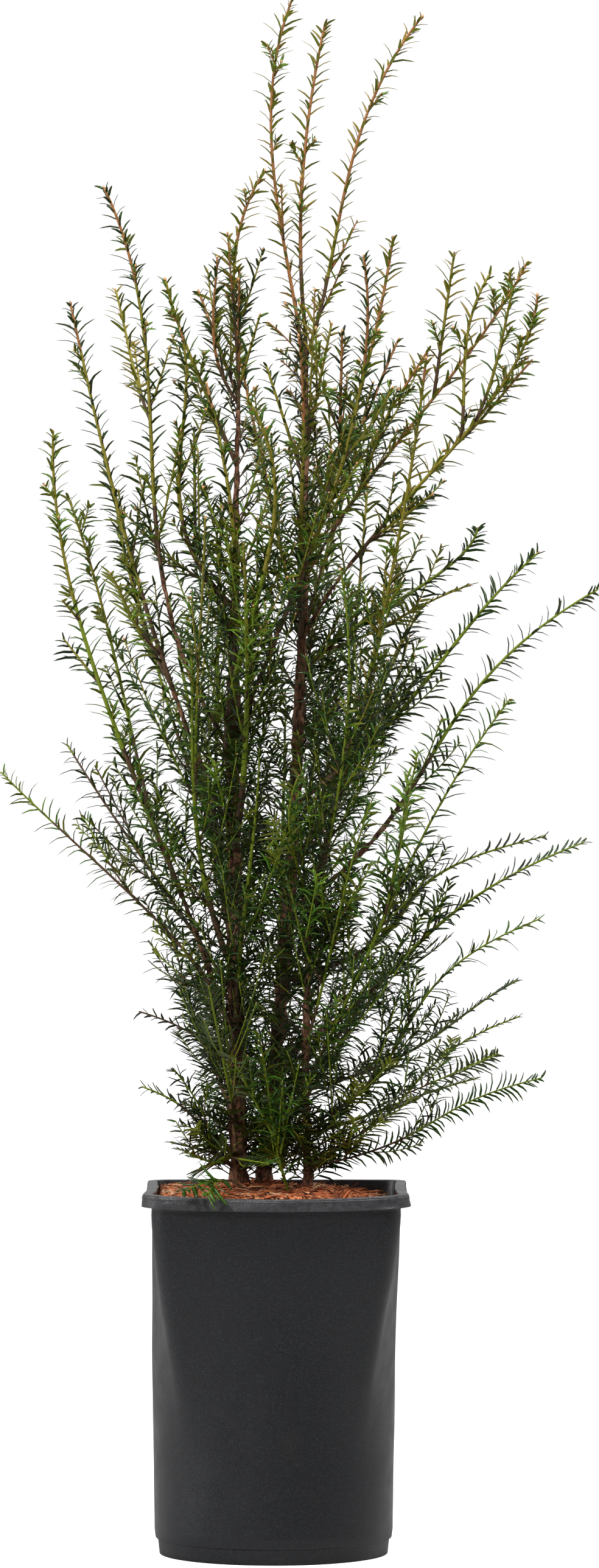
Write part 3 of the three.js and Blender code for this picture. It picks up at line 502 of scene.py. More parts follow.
def lengths(knots, steps=24):
    """Lengths of cubics, by short straight steps."""
    t = np.linspace(0, 1, steps + 1)
    points = along(knots[..., None, :, :], t)
    return np.linalg.norm(np.diff(points, axis=-2), axis=-1).sum(-1)


def leaning(axes, turn, lean):
    """A direction that leans away from a line by an angle, towards one side of it."""
    tangent, first, second = axes
    turn, lean = np.asarray(turn)[..., None], np.asarray(lean)[..., None]
    return tangent * np.cos(lean) + first * np.sin(lean) * np.cos(turn) + second * np.sin(lean) * np.sin(turn)


def tubes(knots, t0, t1, r0, r1, rings, sides, ripple=0.0):
    """Tapering tubes along cubics from share t0 to t1 and from radius r0 to r1: rings square to the line, and
    a pole at either end. Returns points (tubes, points of one, 3) and the faces of one tube."""
    n = len(knots)
    share = np.linspace(0, 1, rings)
    t = lerp(t0[:, None], t1[:, None], share)
    centre = along(knots[:, None], t)
    tangent, first, second = across(knots[:, None], t)
    angle = np.linspace(0, 2 * np.pi, sides, endpoint=False)
    counters = np.meshgrid(np.arange(n), np.arange(rings), np.arange(sides), indexing="ij")
    radius = lerp(r0[:, None], r1[:, None], share)[..., None] * (1 + ripple * (chance(*counters) - 0.5))
    ways = first[..., None, :] * np.cos(angle)[:, None] + second[..., None, :] * np.sin(angle)[:, None]
    grid = centre[..., None, :] + ways * radius[..., None]
    tip = centre[:, -1] + tangent[:, -1] * r1[:, None]
    return np.concatenate([grid.reshape(n, -1, 3), centre[:, :1], tip[:, None]], 1), loft_faces(rings, sides)


# ------------------------------------------------------------------ stems, limbs and the rule that grows them

def stem_knots(stem):
    """A stem's line: its middle sways sideways."""
    push = np.array([*stem["sway"], 0.0])
    return cubic((*stem["foot"], SOIL["level"] + GAP), stem["tip"], push, push)


def stem_radius(stem, t):
    """A stem tapers by a power of the share t, and its flare dies away with the height."""
    height = t * (stem["tip"][2] - SOIL["level"])
    shaft = lerp(stem["radius"], stem["tip_radius"], np.asarray(t, float) ** STEM_FULLNESS)
    return shaft + stem["flare"] * np.exp(-height / FLARE_HEIGHT)


def share_at_height(knots, z):
    """The share at which a line would be at a height if it rose evenly."""
    return np.clip((z - knots[0, 2]) / (knots[3, 2] - knots[0, 2]), 0, 1)


def limb_knots(start, plan):
    """A limb's or fork's line, pushed to the right and back at a third and at two thirds of its way."""
    low, high = zip(plan["right"], plan["back"])
    return cubic(start, plan["tip"], np.array([*low, 0.0]), np.array([*high, 0.0]))


def shoot(knots, region, name, **facts):
    """One leafy shoot: its line, from which share it bears needles, how long its foot stays bare, its radius,
    its counter in the seeded rule and how old its wood is, from 0 for this year's growth to 1."""
    made = {"knots": knots, "region": region, "name": name, "from": 0.0, "root": ROOT, "serial": 0,
            "radius": TWIG["radius"], "age": 0.0, "order": 1, "broad": False, "spur": False}
    made.update(facts)
    made["length"] = float(lengths(knots))
    return made


def side_shoot(parent, t, turn, angle, length, dip=0.25, **facts):
    """A shoot that leaves its parent at a share and an angle and curves upwards: its tip is lifted by a share
    of its length, and its middle dips by a share of that."""
    start = along(parent["knots"], t)
    way = leaning(across(parent["knots"], t), turn, math.radians(angle))
    lift = np.array([0, 0, TWIG["lift"] * length])
    knots = cubic(start, start + way * length + lift, -lift * dip, -lift * dip)
    return shoot(knots, parent["region"], parent["name"], **facts)


def aside(i, spread, luck):
    """Every other twig leaves on the other side, give or take a spread in degrees."""
    return (i % 2) * math.pi + math.radians(spread) * swing(luck)


def side_twigs(parent, usual_length, serial):
    """The source's rule: twigs leave on alternate sides at a steady spacing, longest low on the shoot."""
    leafy = (1 - parent["from"]) * parent["length"]
    made = []
    for i in range(1, int(leafy * TWIG["until"] / TWIG["spacing"]) + 1):
        t = lerp(parent["from"], 1, i * TWIG["spacing"] / leafy)
        if (i + serial) % TWIG["kept"] and chance(serial, i, 6) < openness(along(parent["knots"], t)):
            continue
        length = usual_length * lerp(TWIG["at_foot"], TWIG["at_tip"], t)
        length *= lerp(TWIG["shortest"], TWIG["longest"], chance(serial, i, 2))
        turn = aside(i, TWIG["spread"], chance(serial, i, 1))
        made.append(side_shoot(parent, t, turn, TWIG["angle"], length, serial=serial * TWIG["serials"] + i,
                               age=TWIG["age"] * (1 - t), order=2))
    return made


def openness(point):
    """The share of side twigs left out, so that light comes through: more of them high up and far from the
    middle. Every twig that the solids carry stays."""
    high = smooth((point[2] - OPEN["from"]) / OPEN["over"])
    outer = smooth((math.hypot(point[0] - OPEN["middle"], point[1]) - OPEN["near"]) / OPEN["reach"])
    outer *= smooth((point[2] - OPEN["full_below"]) / OPEN["over"])
    return min(OPEN["most"], OPEN["high"] * high + OPEN["outer"] * outer)


def stem_twigs(name, stem):
    """Short leafy shoots straight from a stem, at a steady spacing and turned by the golden angle. Low on the
    outer stems they keep to the inner side, where they leave the bark in sight."""
    rule, knots = STEM_TWIG, stem_knots(stem)
    serial = rule["serial"] + list(STEMS).index(name) * rule["serials"]
    made = []
    for i in range(int((stem["tip"][2] - rule["from"]) / rule["spacing"])):
        height = rule["from"] + i * rule["spacing"]
        low = height < rule["ring_to"]
        if i % rule["every"][int(not low) + (height >= rule["full_to"])]:
            continue
        turn = i * GOLDEN_ANGLE + chance(serial, i, 3)
        if rule["ring_to"] < height < rule["bare_to"] and name != "middle":
            inner = 0.0 if name == "left" else math.pi
            turn = inner + math.radians(rule["inner"]) * swing(chance(serial, i, 4))
        t = share_at_height(knots, height)
        length = rule["length"] * lerp(rule["at_foot"], rule["at_tip"], t)
        length = length * lerp(rule["shortest"], rule["longest"], chance(serial, i, 5))
        length *= rule["low_length"] if low else 1
        slope = math.radians(rule["low_slope"] if low else rule["slope"])
        way = [math.sin(slope) * math.cos(turn), math.sin(slope) * math.sin(turn), math.cos(slope)]
        start, rise = along(knots, t), np.array([0, 0, rule["sag"] * length])
        line = cubic(start, start + np.array(way) * length, rise, rise)
        made.append(shoot(line, "inner", "stem_" + name, serial=serial + i, age=1.0, order=2,
                          root=float(stem_radius(stem, t)) + rule["root"]))
    return made


def finer_twigs(parent):
    """The rule carried on: short twigs in the plane of a long side twig."""
    made = []
    serial = parent["serial"]
    for i in range(1, int(parent["length"] * FINE["until"] / FINE["spacing"]) + 1):
        t = i * FINE["spacing"] / parent["length"]
        if chance(serial, i, 7) > FINE["share"] * (1 - openness(along(parent["knots"], t))):
            continue
        length = parent["length"] * FINE["length"] * lerp(1, FINE["at_tip"], t)
        length *= lerp(FINE["shortest"], FINE["longest"], chance(serial, i, 9))
        turn = aside(i, FINE["spread"], chance(serial, i, 8))
        made.append(side_shoot(parent, t, turn, TWIG["angle"], length, serial=serial * FINE["serials"] + i,
                               order=3, radius=FINE["radius"], root=FINE["root"]))
    return made


def spurs(parent):
    """Short shoots on the upper part of a high shoot, on alternate sides."""
    made = []
    serial = parent["serial"]
    for i in range(int(parent["length"] / SPUR["spacing"])):
        t = (i + chance(serial, i, 24)) * SPUR["spacing"] / parent["length"]
        if not SPUR["first"] < t < SPUR["last"] or chance(serial, i, 25) > SPUR["share"]:
            continue
        length = SPUR["length"] * lerp(SPUR["shortest"], SPUR["longest"], chance(serial, i, 26))
        turn = aside(i, TWIG["spread"], chance(serial, i, 27))
        made.append(side_shoot(parent, t, turn, SPUR["angle"], length, 0, serial=serial * SPUR["serials"] + i,
                               order=3, radius=SPUR["radius"], root=SPUR["root"], spur=True))
    return made


def region_of(name):
    """The part of the crown that a limb belongs to, by its name."""
    return next(region for region, prefixes in REGIONS.items() if name.startswith(prefixes))


def limb_start(plan):
    """Where a limb leaves its stem, or its own foot in the mix, how thick it is and how far in it starts."""
    if plan["foot"]:
        return (*plan["foot"], SOIL["level"] + 2 * GAP), LIMB["fork_radius"], 0
    stem = STEMS[plan["on"]]
    t = share_at_height(stem_knots(stem), plan["start"])
    stem_half = float(stem_radius(stem, t))
    radius = min(LIMB["most_radius"], max(LIMB["fork_radius"], stem_half * LIMB["start_share"]))
    return along(stem_knots(stem), t), radius, stem_half


def grow_limb(serial, plan):
    """A limb's shoots, in the order in which they grow, and its bare bough if it has one."""
    region, bare = region_of(plan["name"]), plan["bough"]
    start, radius, stem_half = limb_start(plan)
    knots = limb_knots(start, plan)
    family = [shoot(knots, region, plan["name"], root=1 if bare else ROOT + stem_half, age=1.0, order=0,
                    radius=lerp(radius, LIMB["tip_radius"], bare), serial=serial, **{"from": bare})]
    for k, branch in enumerate(plan["forks"]):
        start = along(knots, share_at_height(knots, branch["at"]))
        family.append(shoot(limb_knots(start, branch), region, plan["name"], radius=LIMB["fork_radius"],
                            serial=serial + k + 1, age=LIMB["fork_age"], order=1))
    shoots = []
    for parent in family:
        twigs = side_twigs(parent, plan["twig"], parent["serial"])
        shoots += [parent, *twigs]
        if parent["knots"][3, 2] > SPUR["above"]:
            shoots += spurs(parent)
        for twig in twigs:
            shoots += finer_twigs(twig)
    boughs = [{"knots": knots, "bare": bare, "radius": radius, "name": plan["name"]}] if bare else []
    return boughs, shoots


def grow():
    """The bare boughs and all leafy shoots: of each limb, over the rim and straight from the stems."""
    boughs, shoots = [], []
    for k, plan in enumerate(LIMBS):
        more_boughs, more_shoots = grow_limb(k * LIMB_SERIALS, plan)
        boughs += more_boughs
        shoots += more_shoots
    over = np.array([0, 0, RIM_RISE])
    for k, (start, tip) in enumerate(RIM_SHOOTS):
        shoots.append(shoot(cubic(start, tip, over, over), "front", "rim_spray", serial=RIM_SERIAL + k,
                            order=2, broad=True))
    for name, stem in STEMS.items():
        twigs = stem_twigs(name, stem)
        shoots += twigs
        for twig in twigs:
            shoots += finer_twigs(twig)
    return boughs, [s for s in shoots if clear_of_pot(s)]


def clear_of_pot(made):
    """Over the pot a shoot stays above the rim and the potting mix."""
    points = along(made["knots"], np.linspace(0.15, 1, 8))
    reach = POT["top_half"] + POT["overhang"] + POT["bulge"]
    over = np.abs(points[:, :2]).max(-1) < reach
    return bool(np.all(~over | (points[:, 2] > POT["height"] + CLEAR_OF_RIM))) or made["broad"]


def gathered(shoots, key):
    """One fact of all shoots, as an array."""
    return np.array([s[key] for s in shoots])


def gathered_in(shoots, names):
    """Which shoots belong to certain limbs."""
    return np.array([s["name"] in names for s in shoots])


# ------------------------------------------------------------------ needles, twigs and buds

def needle_lines(shoots, sizes):
    """Where the needles of some shoots sit. They stand at a steady pitch, closer towards the tip and, by a
    power of the way, more so near it. Returns each one's shoot, its number there, its share of the leafy
    length, its share of the whole line and the leafy lengths."""
    start, root = gathered(shoots, "from"), gathered(shoots, "root")
    tips = gathered(shoots, "knots")[:, 3]
    leafy = (1 - start) * gathered(shoots, "length")
    top = smooth((tips[:, 2] - SMALLER_FROM) / SMALLER_OVER)
    far = np.array([openness(tip) for tip in tips]) / OPEN["most"]
    pitch = lerp(sizes["pitch"], sizes["high_pitch"], np.maximum(top, far))
    pitch = pitch * np.where(gathered(shoots, "broad"), BROAD_PITCH, 1)
    pitch = pitch * np.where(gathered(shoots, "spur"), SPUR["pitch"], 1)
    count = np.maximum(0, (leafy - root) / pitch).astype(int)
    owner = np.repeat(np.arange(len(shoots)), count)
    k = np.arange(len(owner)) - np.repeat(np.cumsum(count) - count, count)
    way_up = 1 - (1 - (k + 0.5) / count[owner]) ** NEEDLE["crowding"]
    rel = lerp(root[owner] / leafy[owner], 1, way_up)
    slip = (chance(gathered(shoots, "serial")[owner], k, 11) - 0.5) * NEEDLE["slip"]
    t = lerp(start[owner], 1, np.clip(rel + slip * pitch[owner] / leafy[owner], 0, 1))
    return owner, k, rel, t, leafy


def needle_ways(shoots, sizes, owner, k, t, closer):
    """Which way each needle points, and the way that its upper face looks. On a level shoot they part to two
    sides, on an upright one they stand all round by the golden angle. Each leans away from its shoot, less so
    where closer is 1, and is rolled about itself by chance."""
    serial, knots = gathered(shoots, "serial")[owner], gathered(shoots, "knots")
    rise = np.abs(unit(knots[:, 3] - knots[:, 0])[:, 2])
    upright = smooth((rise - NEEDLE["upright_from"]) / NEEDLE["upright_over"])[owner]
    axes = across(knots[owner], t)
    tangent, first, second = axes
    radial = chance(serial, k, 12) < upright
    luck = chance(serial, k, 13)
    tilt = np.radians(sizes["roll"]) * swing(chance(serial, 4, 23))
    parted = np.radians(NEEDLE["parted"] + NEEDLE["lean"] * swing(luck))
    sides = np.where(k % 2 == 0, parted, np.pi - parted) + tilt
    turn = np.where(radial, k * GOLDEN_ANGLE + NEEDLE["round"] * luck, sides)
    lean = lerp(sizes["lean"], sizes["tip_lean"], closer) + NEEDLE["lean"] * swing(chance(serial, k, 14))
    way = leaning(axes, turn, np.radians(lean))
    raised = second * np.cos(tilt)[:, None] - first * np.sin(tilt)[:, None]
    face = np.where(radial[:, None], tangent, raised)
    face = unit(face - dot(face, way) * way)
    most = np.where(radial, NEEDLE["upright_roll"], NEEDLE["roll"])
    roll = np.radians(most * swing(chance(serial, k, 15)))[:, None]
    return axes, turn, way, face * np.cos(roll) + np.cross(way, face) * np.sin(roll)


def needle_points(shoots, sizes):
    """All needles of some shoots as one array of points, with the shoot and the share of its leafy length
    that each sits at. A needle curls outwards and hangs by the square of its own length. Its section is a
    low triangle: left edge, ridge, right edge."""
    owner, k, rel, t, leafy = needle_lines(shoots, sizes)
    serial, knots = gathered(shoots, "serial")[owner], gathered(shoots, "knots")[owner]
    near_tip = smooth(1 - (1 - rel) * leafy[owner] / TIP_GROWTH)
    high = smooth((along(knots, t)[:, 2] - SMALLER_FROM) / SMALLER_OVER)
    closer = np.maximum(near_tip, CLOSER * high)
    axes, turn, way, face = needle_ways(shoots, sizes, owner, k, t, closer)
    wide = np.cross(face, way)
    small = np.where(gathered_in(shoots, SMALL_LEAVED)[owner], SMALL_LEAF, 1)
    broad_leaf = gathered(shoots, "broad")[owner]
    size = lerp(NEEDLE["foot"], 1, smooth(rel / NEEDLE["foot_reach"]))
    size = size * lerp(1, NEEDLE["tip"], near_tip) * small
    luck = lerp(NEEDLE["shortest"], NEEDLE["longest"], chance(serial, k, 16))
    long = (lerp(sizes["length"], sizes["high_length"], high) * size * luck)[:, None]
    broad = lerp(sizes["width"], sizes["high_width"], high) * small
    broad = np.where(broad_leaf, BROAD_LEAF * broad, broad)[:, None]
    forwards = unit(axes[0] - dot(axes[0], way) * way)
    curl = sizes["curl"] * lerp(NEEDLE["least_curl"], NEEDLE["most_curl"], chance(serial, k, 17))
    curl = curl * lerp(1, NEEDLE["closer_curl"], closer)
    hang = np.where(broad_leaf, NEEDLE["broad_hang"], NEEDLE["hang"]) * chance(serial, k, 18)
    bend = -forwards * curl[:, None] + np.array([0, 0, 1]) * hang[:, None]
    radius = lerp(gathered(shoots, "radius")[owner], LIMB["tip_radius"], rel)[:, None]
    base = along(knots, t) + leaning(axes, turn, np.full(len(turn), np.pi / 2)) * radius * NEEDLE["sunk"]
    points = []
    for s, half_width, ridge in NEEDLE_STATIONS:
        centre = base + way * long * s + bend * long * s * s
        half = wide * broad / 2 * half_width
        points += [centre + half, centre + face * sizes["thickness"] * ridge, centre - half]
    points.append(base + way * long + bend * long + face * sizes["thickness"] * NEEDLE["point"])
    return np.stack(points, 1), owner, rel


def needle_faces():
    """The triangles of one needle, and which of them are its underside."""
    faces, under = [], []
    last = 3 * len(NEEDLE_STATIONS)
    sides = ((0, 1), (1, 2), (2, 0))
    for k in range(0, last - 3, 3):
        for i, j in sides:
            faces += [(k + i, k + j, k + 3 + j), (k + i, k + 3 + j, k + 3 + i)]
            under += [i == 2] * 2
    for i, j in sides:
        faces.append((last - 3 + i, last - 3 + j, last))
        under.append(i == 2)
    return np.array(faces + [(0, 2, 1)]), np.array(under + [True])


def outside_pot(tips):
    """Needles that would end in the potting mix, the rim or the wall are left out."""
    x, y, z = tips.T
    rim = pot_point(np.arctan2(y, x), POT["height"] - RIM_MIDDLE, -POT["overhang"])
    within = np.hypot(x, y) < np.hypot(rim[:, 0], rim[:, 1]) + CLEAR_OF_POT
    return ~within | (z > POT["height"] + CLEAR_OF_POT)


def off_the_bark(points):
    """All needles but those right in front of one stem's foot, of which only a few are kept."""
    x, y, z = points.T
    knots = stem_knots(STEMS[SIGHT["stem"]])
    axis = along(knots[None], share_at_height(knots, z))
    beside = x - axis[:, 0]
    within = (beside > -SIGHT["left"]) & (beside < SIGHT["right"]) & (y < axis[:, 1])
    within &= (z > SIGHT["from"]) & (z < SIGHT["to"])
    return ~within | (chance(np.arange(len(points)), 1, 28) < SIGHT["kept"])


def needle_tones(shoots, owner, rel):
    """Which green each needle has. A spray's number grows with its youth, its height and its distance from
    the middle, and the tips of some shoots are one green paler. The highest leaders turn bronze."""
    serial, tips = gathered(shoots, "serial"), gathered(shoots, "knots")[:, 3]
    raised = np.maximum(smooth((tips[:, 2] - PALER_FROM) / PALER_OVER), [openness(tip) for tip in tips])
    spray = chance(serial, 3, 21) + YOUNGER * (0.5 - gathered(shoots, "age")) + lerp(LOW_PALER, PALER, raised)
    spray += np.array([TINTS.get(s["name"], 0) for s in shoots]) + SPUR["paler"] * gathered(shoots, "spur")
    tone = np.digitize(spray, TONE_STEPS)[owner]
    fresh = (rel > FRESH_FROM) & (tone < len(TONE_STEPS)) & (chance(serial, 5, 22)[owner] < FRESH_SHARE)
    tone = np.where(fresh, tone + 1, tone)
    high = smooth((tips[:, 2] - BRONZE_FROM) / BRONZE_OVER)
    bronze = (gathered(shoots, "order") < 3) & (chance(serial, 6, 23) < high)
    return np.where(bronze[owner], len(TONE_STEPS) + 1, tone)


def make_needles(region, shoots, sizes, materials):
    """The needles of one part of the crown. Their undersides are of two further colours, and shaded flat."""
    points, owner, rel = needle_points(shoots, sizes)
    keep = off_the_bark(points[:, NEEDLE_MIDDLE])
    for corner in NEEDLE_TESTED:
        keep &= outside_pot(points[:, corner])
    points, owner, rel = points[keep], owner[keep], rel[keep]
    faces, under = needle_faces()
    tone = needle_tones(shoots, owner, rel)[:, None]
    paint = np.where(under[None], len(TONE_STEPS) + 2 + (tone > 1), tone)
    nodes = ["needles_" + plan["name"] for plan in LIMBS if region_of(plan["name"]) == region]
    count, per_needle = points.shape[:2]
    return add_piece("needles_" + region, points.reshape(-1, 3), repeated([faces], count, per_needle),
                     materials, "needles", nodes, paint.ravel(), np.tile(under, count))


def rod_tones(some, order, rings):
    """Each stretch of a rod: brown wood from its foot up to a share of the way, then a young colour by its
    height."""
    share = np.arange(rings - 1) / (rings - 1)
    serial, start = gathered(some, "serial"), gathered(some, "from")[:, None]
    brown = np.array([WOODINESS.get(s["name"], 1) for s in some])
    wood = WOODY[order] * brown * lerp(WOODY_LEAST, WOODY_MOST, chance(serial, 2, 31))
    height = along(gathered(some, "knots")[:, None], lerp(start, 1, share))[..., 2]
    height = height + TAN_OVER * (chance(serial, 2, 32) - 0.5)[:, None]
    young = np.digitize(height, (TAN_FROM - TAN_OVER / 2, TAN_FROM + TAN_OVER / 2))
    return np.where(share[None] < wood[:, None], 0, 1 + young)


def make_twigs(shoots, materials):
    """The rods of leafy shoots, as tapering tubes that are slimmer in each further order."""
    points, quads, fans, quad_paint, fan_paint = [], [], [], [], []
    offset = 0
    for order, rings, sides, thick, tip in RODS:
        some = [s for s in shoots if s["order"] == order]
        start = gathered(some, "from")
        high = smooth((gathered(some, "knots")[:, 3, 2] - THICK_FROM) / THICK_OVER)
        thick = np.where(start > 0, 1, lerp(*thick, high))
        thick = thick * np.where(gathered_in(some, SMALL_LEAVED), SMALL_ROD, 1)
        made, faces = tubes(gathered(some, "knots"), start, np.ones(len(some)),
                            gathered(some, "radius") * thick, lerp(*tip, high), rings, sides, ROD_RIPPLE)
        quad, fan = repeated(faces, *made.shape[:2])
        points.append(made.reshape(-1, 3))
        quads.append(quad + offset)
        fans.append(fan + offset)
        tone = rod_tones(some, order, rings)
        quad_paint.append(np.repeat(tone, sides, 1).ravel())
        fan_paint.append(np.repeat(tone[:, [0, -1]], sides, 1).ravel())
        offset += len(points[-1])
    faces = [np.concatenate(quads), np.concatenate(fans)]
    return add_piece("twigs", np.concatenate(points), faces, materials, "bark",
                     paint=np.concatenate(quad_paint + fan_paint))


def bud_places(shoots, spacing):
    """The line, the share and the scale of each bud: one at each shoot's tip, and smaller ones along its last
    growth."""
    places = [(s["knots"], 1.0, 1.0) for s in shoots]
    for s in shoots:
        if s["order"] < 3:
            leafy = (1 - s["from"]) * s["length"]
            places += [(s["knots"], 1 - (i + BUD["first"]) * spacing / leafy, BUD["side"])
                       for i in range(int(leafy * BUD["until"] / spacing))]
    return (np.array(column) for column in zip(*places))


def make_buds(shoots, sizes, materials):
    """Small egg-shaped buds. An egg is a tube whose radius rises and falls again along its length."""
    knots, t, scale = bud_places(shoots, sizes["spacing"])
    serial = np.arange(len(t))
    foot = along(knots, t)
    size = scale * sizes["length"] * lerp(BUD["smallest"], BUD["largest"], chance(serial, 1, 41))
    size = size * lerp(BUD["low"], BUD["high"], smooth((foot[:, 2] - BUD["from"]) / BUD["over"]))
    axes = across(knots, t)
    sideways = leaning(axes, serial * GOLDEN_ANGLE, np.full(len(t), math.radians(BUD["lean"])))
    way = np.where((t < 1)[:, None], sideways, axes[0])
    first = unit(np.cross(way, axes[1] + 0.3 * axes[2]))
    second = np.cross(way, first)
    angle = np.linspace(0, 2 * np.pi, BUD["sides"], endpoint=False)
    ring = first[:, None, None] * np.cos(angle)[:, None] + second[:, None, None] * np.sin(angle)[:, None]
    reach, fat = np.array(BUD_PROFILE).T
    grid = (way[:, None] * reach[:, None])[:, :, None] + ring * fat[:, None, None]
    grid = grid * size[:, None, None, None] + foot[:, None, None]
    poles = foot[:, None] + way[:, None] * (size[:, None] * np.array([BUD_SUNK, 1.0]))[..., None]
    points = np.concatenate([grid.reshape(len(t), -1, 3), poles], 1)
    tone = (chance(serial, 1, 42) > BUD["tan"]).astype(int)
    return add_copies("buds", points, loft_faces(*grid.shape[1:3]), materials, "bark", tone=tone)


# ------------------------------------------------------------------ bark

def risen(points, rule):
    """Flat ground at 0 and raised ground at 1: noise pulled apart about a level."""
    return smooth((noise(points, rule["size"], rule["seed"]) - rule["from"]) / rule["over"])


def bark_relief(points, radius, depth):
    """Flaky bark: upright plates with soft edges, from noise stretched along the stem, finer strips and
    knobs. Thin wood has less of it."""
    strips = noise(points, STRIPS["size"], STRIPS["seed"]) - 0.5
    relief = risen(points, PLATES) - 0.5 + STRIPS["weight"] * strips + KNOBS["weight"] * risen(points, KNOBS)
    return depth * np.minimum(1, radius / FULL_RELIEF) * relief


def make_stem(name, stem, depth, materials):
    """A stem: level rings round its line, with the taper and root flare of the rule, pushed out by the bark's
    relief and by low ribs where roots run down into the flare."""
    knots = stem_knots(stem)
    tall = stem["tip"][2] - SOIL["level"]
    t = np.linspace(0, 1, int(tall / STEM_STEP))
    angle = np.linspace(0, 2 * np.pi, STEM_SIDES, endpoint=False)
    radius = stem_radius(stem, t)[:, None] * np.ones(len(angle))
    centre = along(knots, t)[:, None]
    way = np.stack([np.cos(angle), np.sin(angle), 0 * angle], -1)[None]
    relief = bark_relief(centre + way * radius[..., None], radius, depth)
    ribs = np.exp(-(t[:, None] * tall) / RIBS["reach"]) * RIBS["depth"]
    ribs = ribs * np.sin(angle * RIBS["count"] + centre[..., 2] * RIBS["twist"])
    points, faces = closed_loft(centre + way * (radius * (1 + ribs) + relief)[..., None])
    return add_piece("bark_" + name, points, faces, materials, "bark", ["stem_" + name])


def make_boughs(boughs, depth, materials):
    """The limbs' bare lengths, each a tapering tube from inside its stem, with the same relief."""
    knots, bare, thick = (gathered(boughs, key) for key in ("knots", "bare", "radius"))
    thick, n = thick * BOUGH_SHARE, len(boughs)
    made, faces = tubes(knots, np.zeros(n), bare + BOUGH_OVERLAP, thick,
                        lerp(thick, LIMB["tip_radius"] * BOUGH_SHARE, bare), BOUGH_RINGS, BOUGH_SIDES)
    grid = made[:, :-2].reshape(n, BOUGH_RINGS, BOUGH_SIDES, 3)
    centre = grid.mean(2, keepdims=True)
    out = grid - centre
    radius = np.linalg.norm(out, axis=-1)
    grid = centre + unit(out) * (radius + bark_relief(grid, radius, depth * BOUGH_RELIEF))[..., None]
    points = np.concatenate([grid.reshape(n, -1, 3), made[:, -2:]], 1)
    return add_copies("bark_boughs", points, faces, materials, "bark", ["bough_" + b["name"] for b in boughs])


# ------------------------------------------------------------------ pot and potting mix

def rounded_square(half, corner, angle):
    """Distance from the axis to a square of half width half with rounded corners, in a direction."""
    c, s = np.abs(np.cos(angle)), np.abs(np.sin(angle))
    flat = half / np.maximum(c, s)
    reach = (half - corner) * (c + s)
    round_part = reach + np.sqrt(np.maximum(0, reach ** 2 - 2 * (half - corner) ** 2 + corner ** 2))
    return np.where(flat * np.minimum(c, s) <= half - corner, flat, round_part)


def pot_point(angle, z, inset):
    """The pot's outside moved inwards by inset: round at the foot, square at the rim, where the two sides are
    pinched, and the front bulges and sags. All three may be arrays that fit together."""
    up = z / POT["height"]
    roundness = smooth((1 - up) / POT["round_below"])
    half = lerp(POT["base_half"], POT["top_half"], up) - inset
    corner = np.maximum(2, POT["corner"] - inset)
    radius = lerp(rounded_square(half, corner, angle), half, roundness)
    x, y = radius * np.cos(angle), radius * np.sin(angle)
    upper = smooth((up - POT["upper_from"]) / (1 - POT["upper_from"]))
    at_rim = smooth((up - POT["rim_from"]) / POT["rim_over"])
    across_side, across_front = np.maximum(0, 1 - (y / half) ** 2), np.maximum(0, 1 - (x / half) ** 2)
    to_front = smooth(-y / half)
    return np.stack([
        x + POT["lean"] * upper - POT["pinch"] * at_rim * across_side * (x / half),
        y - POT["bulge"] * upper * across_front * to_front,
        z - POT["sag"] * at_rim * across_front * to_front + 0 * x,
    ], -1)


def pot_angles(steps):
    """Angles round the pot in degrees 0-40, 40-50 and 50-90 of each quarter, so that they are close together
    at its four corners."""
    parts = [np.linspace(a, b, steps, endpoint=False) for a, b in ((0, 40), (40, 50), (50, 90))]
    return np.radians((np.arange(4)[:, None] * 90 + np.concatenate(parts)).ravel())


def eased_profile(corners, size, longest):
    """A line through corner points, with each inner corner rounded by a parabola and long runs divided."""
    corners = np.array(corners, float)
    line = [corners[0]]
    for before, here, after in zip(corners[:-2], corners[1:-1], corners[2:]):
        reach = min(size, *(LONGEST_EASE * np.linalg.norm(end - here) for end in (before, after)))
        a, b = here + unit(before - here) * reach, here + unit(after - here) * reach
        line += [lerp(lerp(a, here, s), lerp(here, b, s), s) for s in (0, 0.25, 0.5, 0.75, 1)]
    line.append(corners[-1])
    full = [line[0]]
    for a, b in zip(line[:-1], line[1:]):
        pieces = max(1, math.ceil(np.linalg.norm(b - a) / longest))
        full += [lerp(a, b, (k + 1) / pieces) for k in range(pieces)]
    return np.array(full)


def wander(rings, size, seed, depth, where):
    """Moves points away from the axis or towards it by noise of a given size, where a test is true: by up to
    half the depth at 100 mm from the axis."""
    rings[..., :2] *= 1 + depth / MM * (noise(rings, size, seed) - 0.5)[..., None] / 100 * where


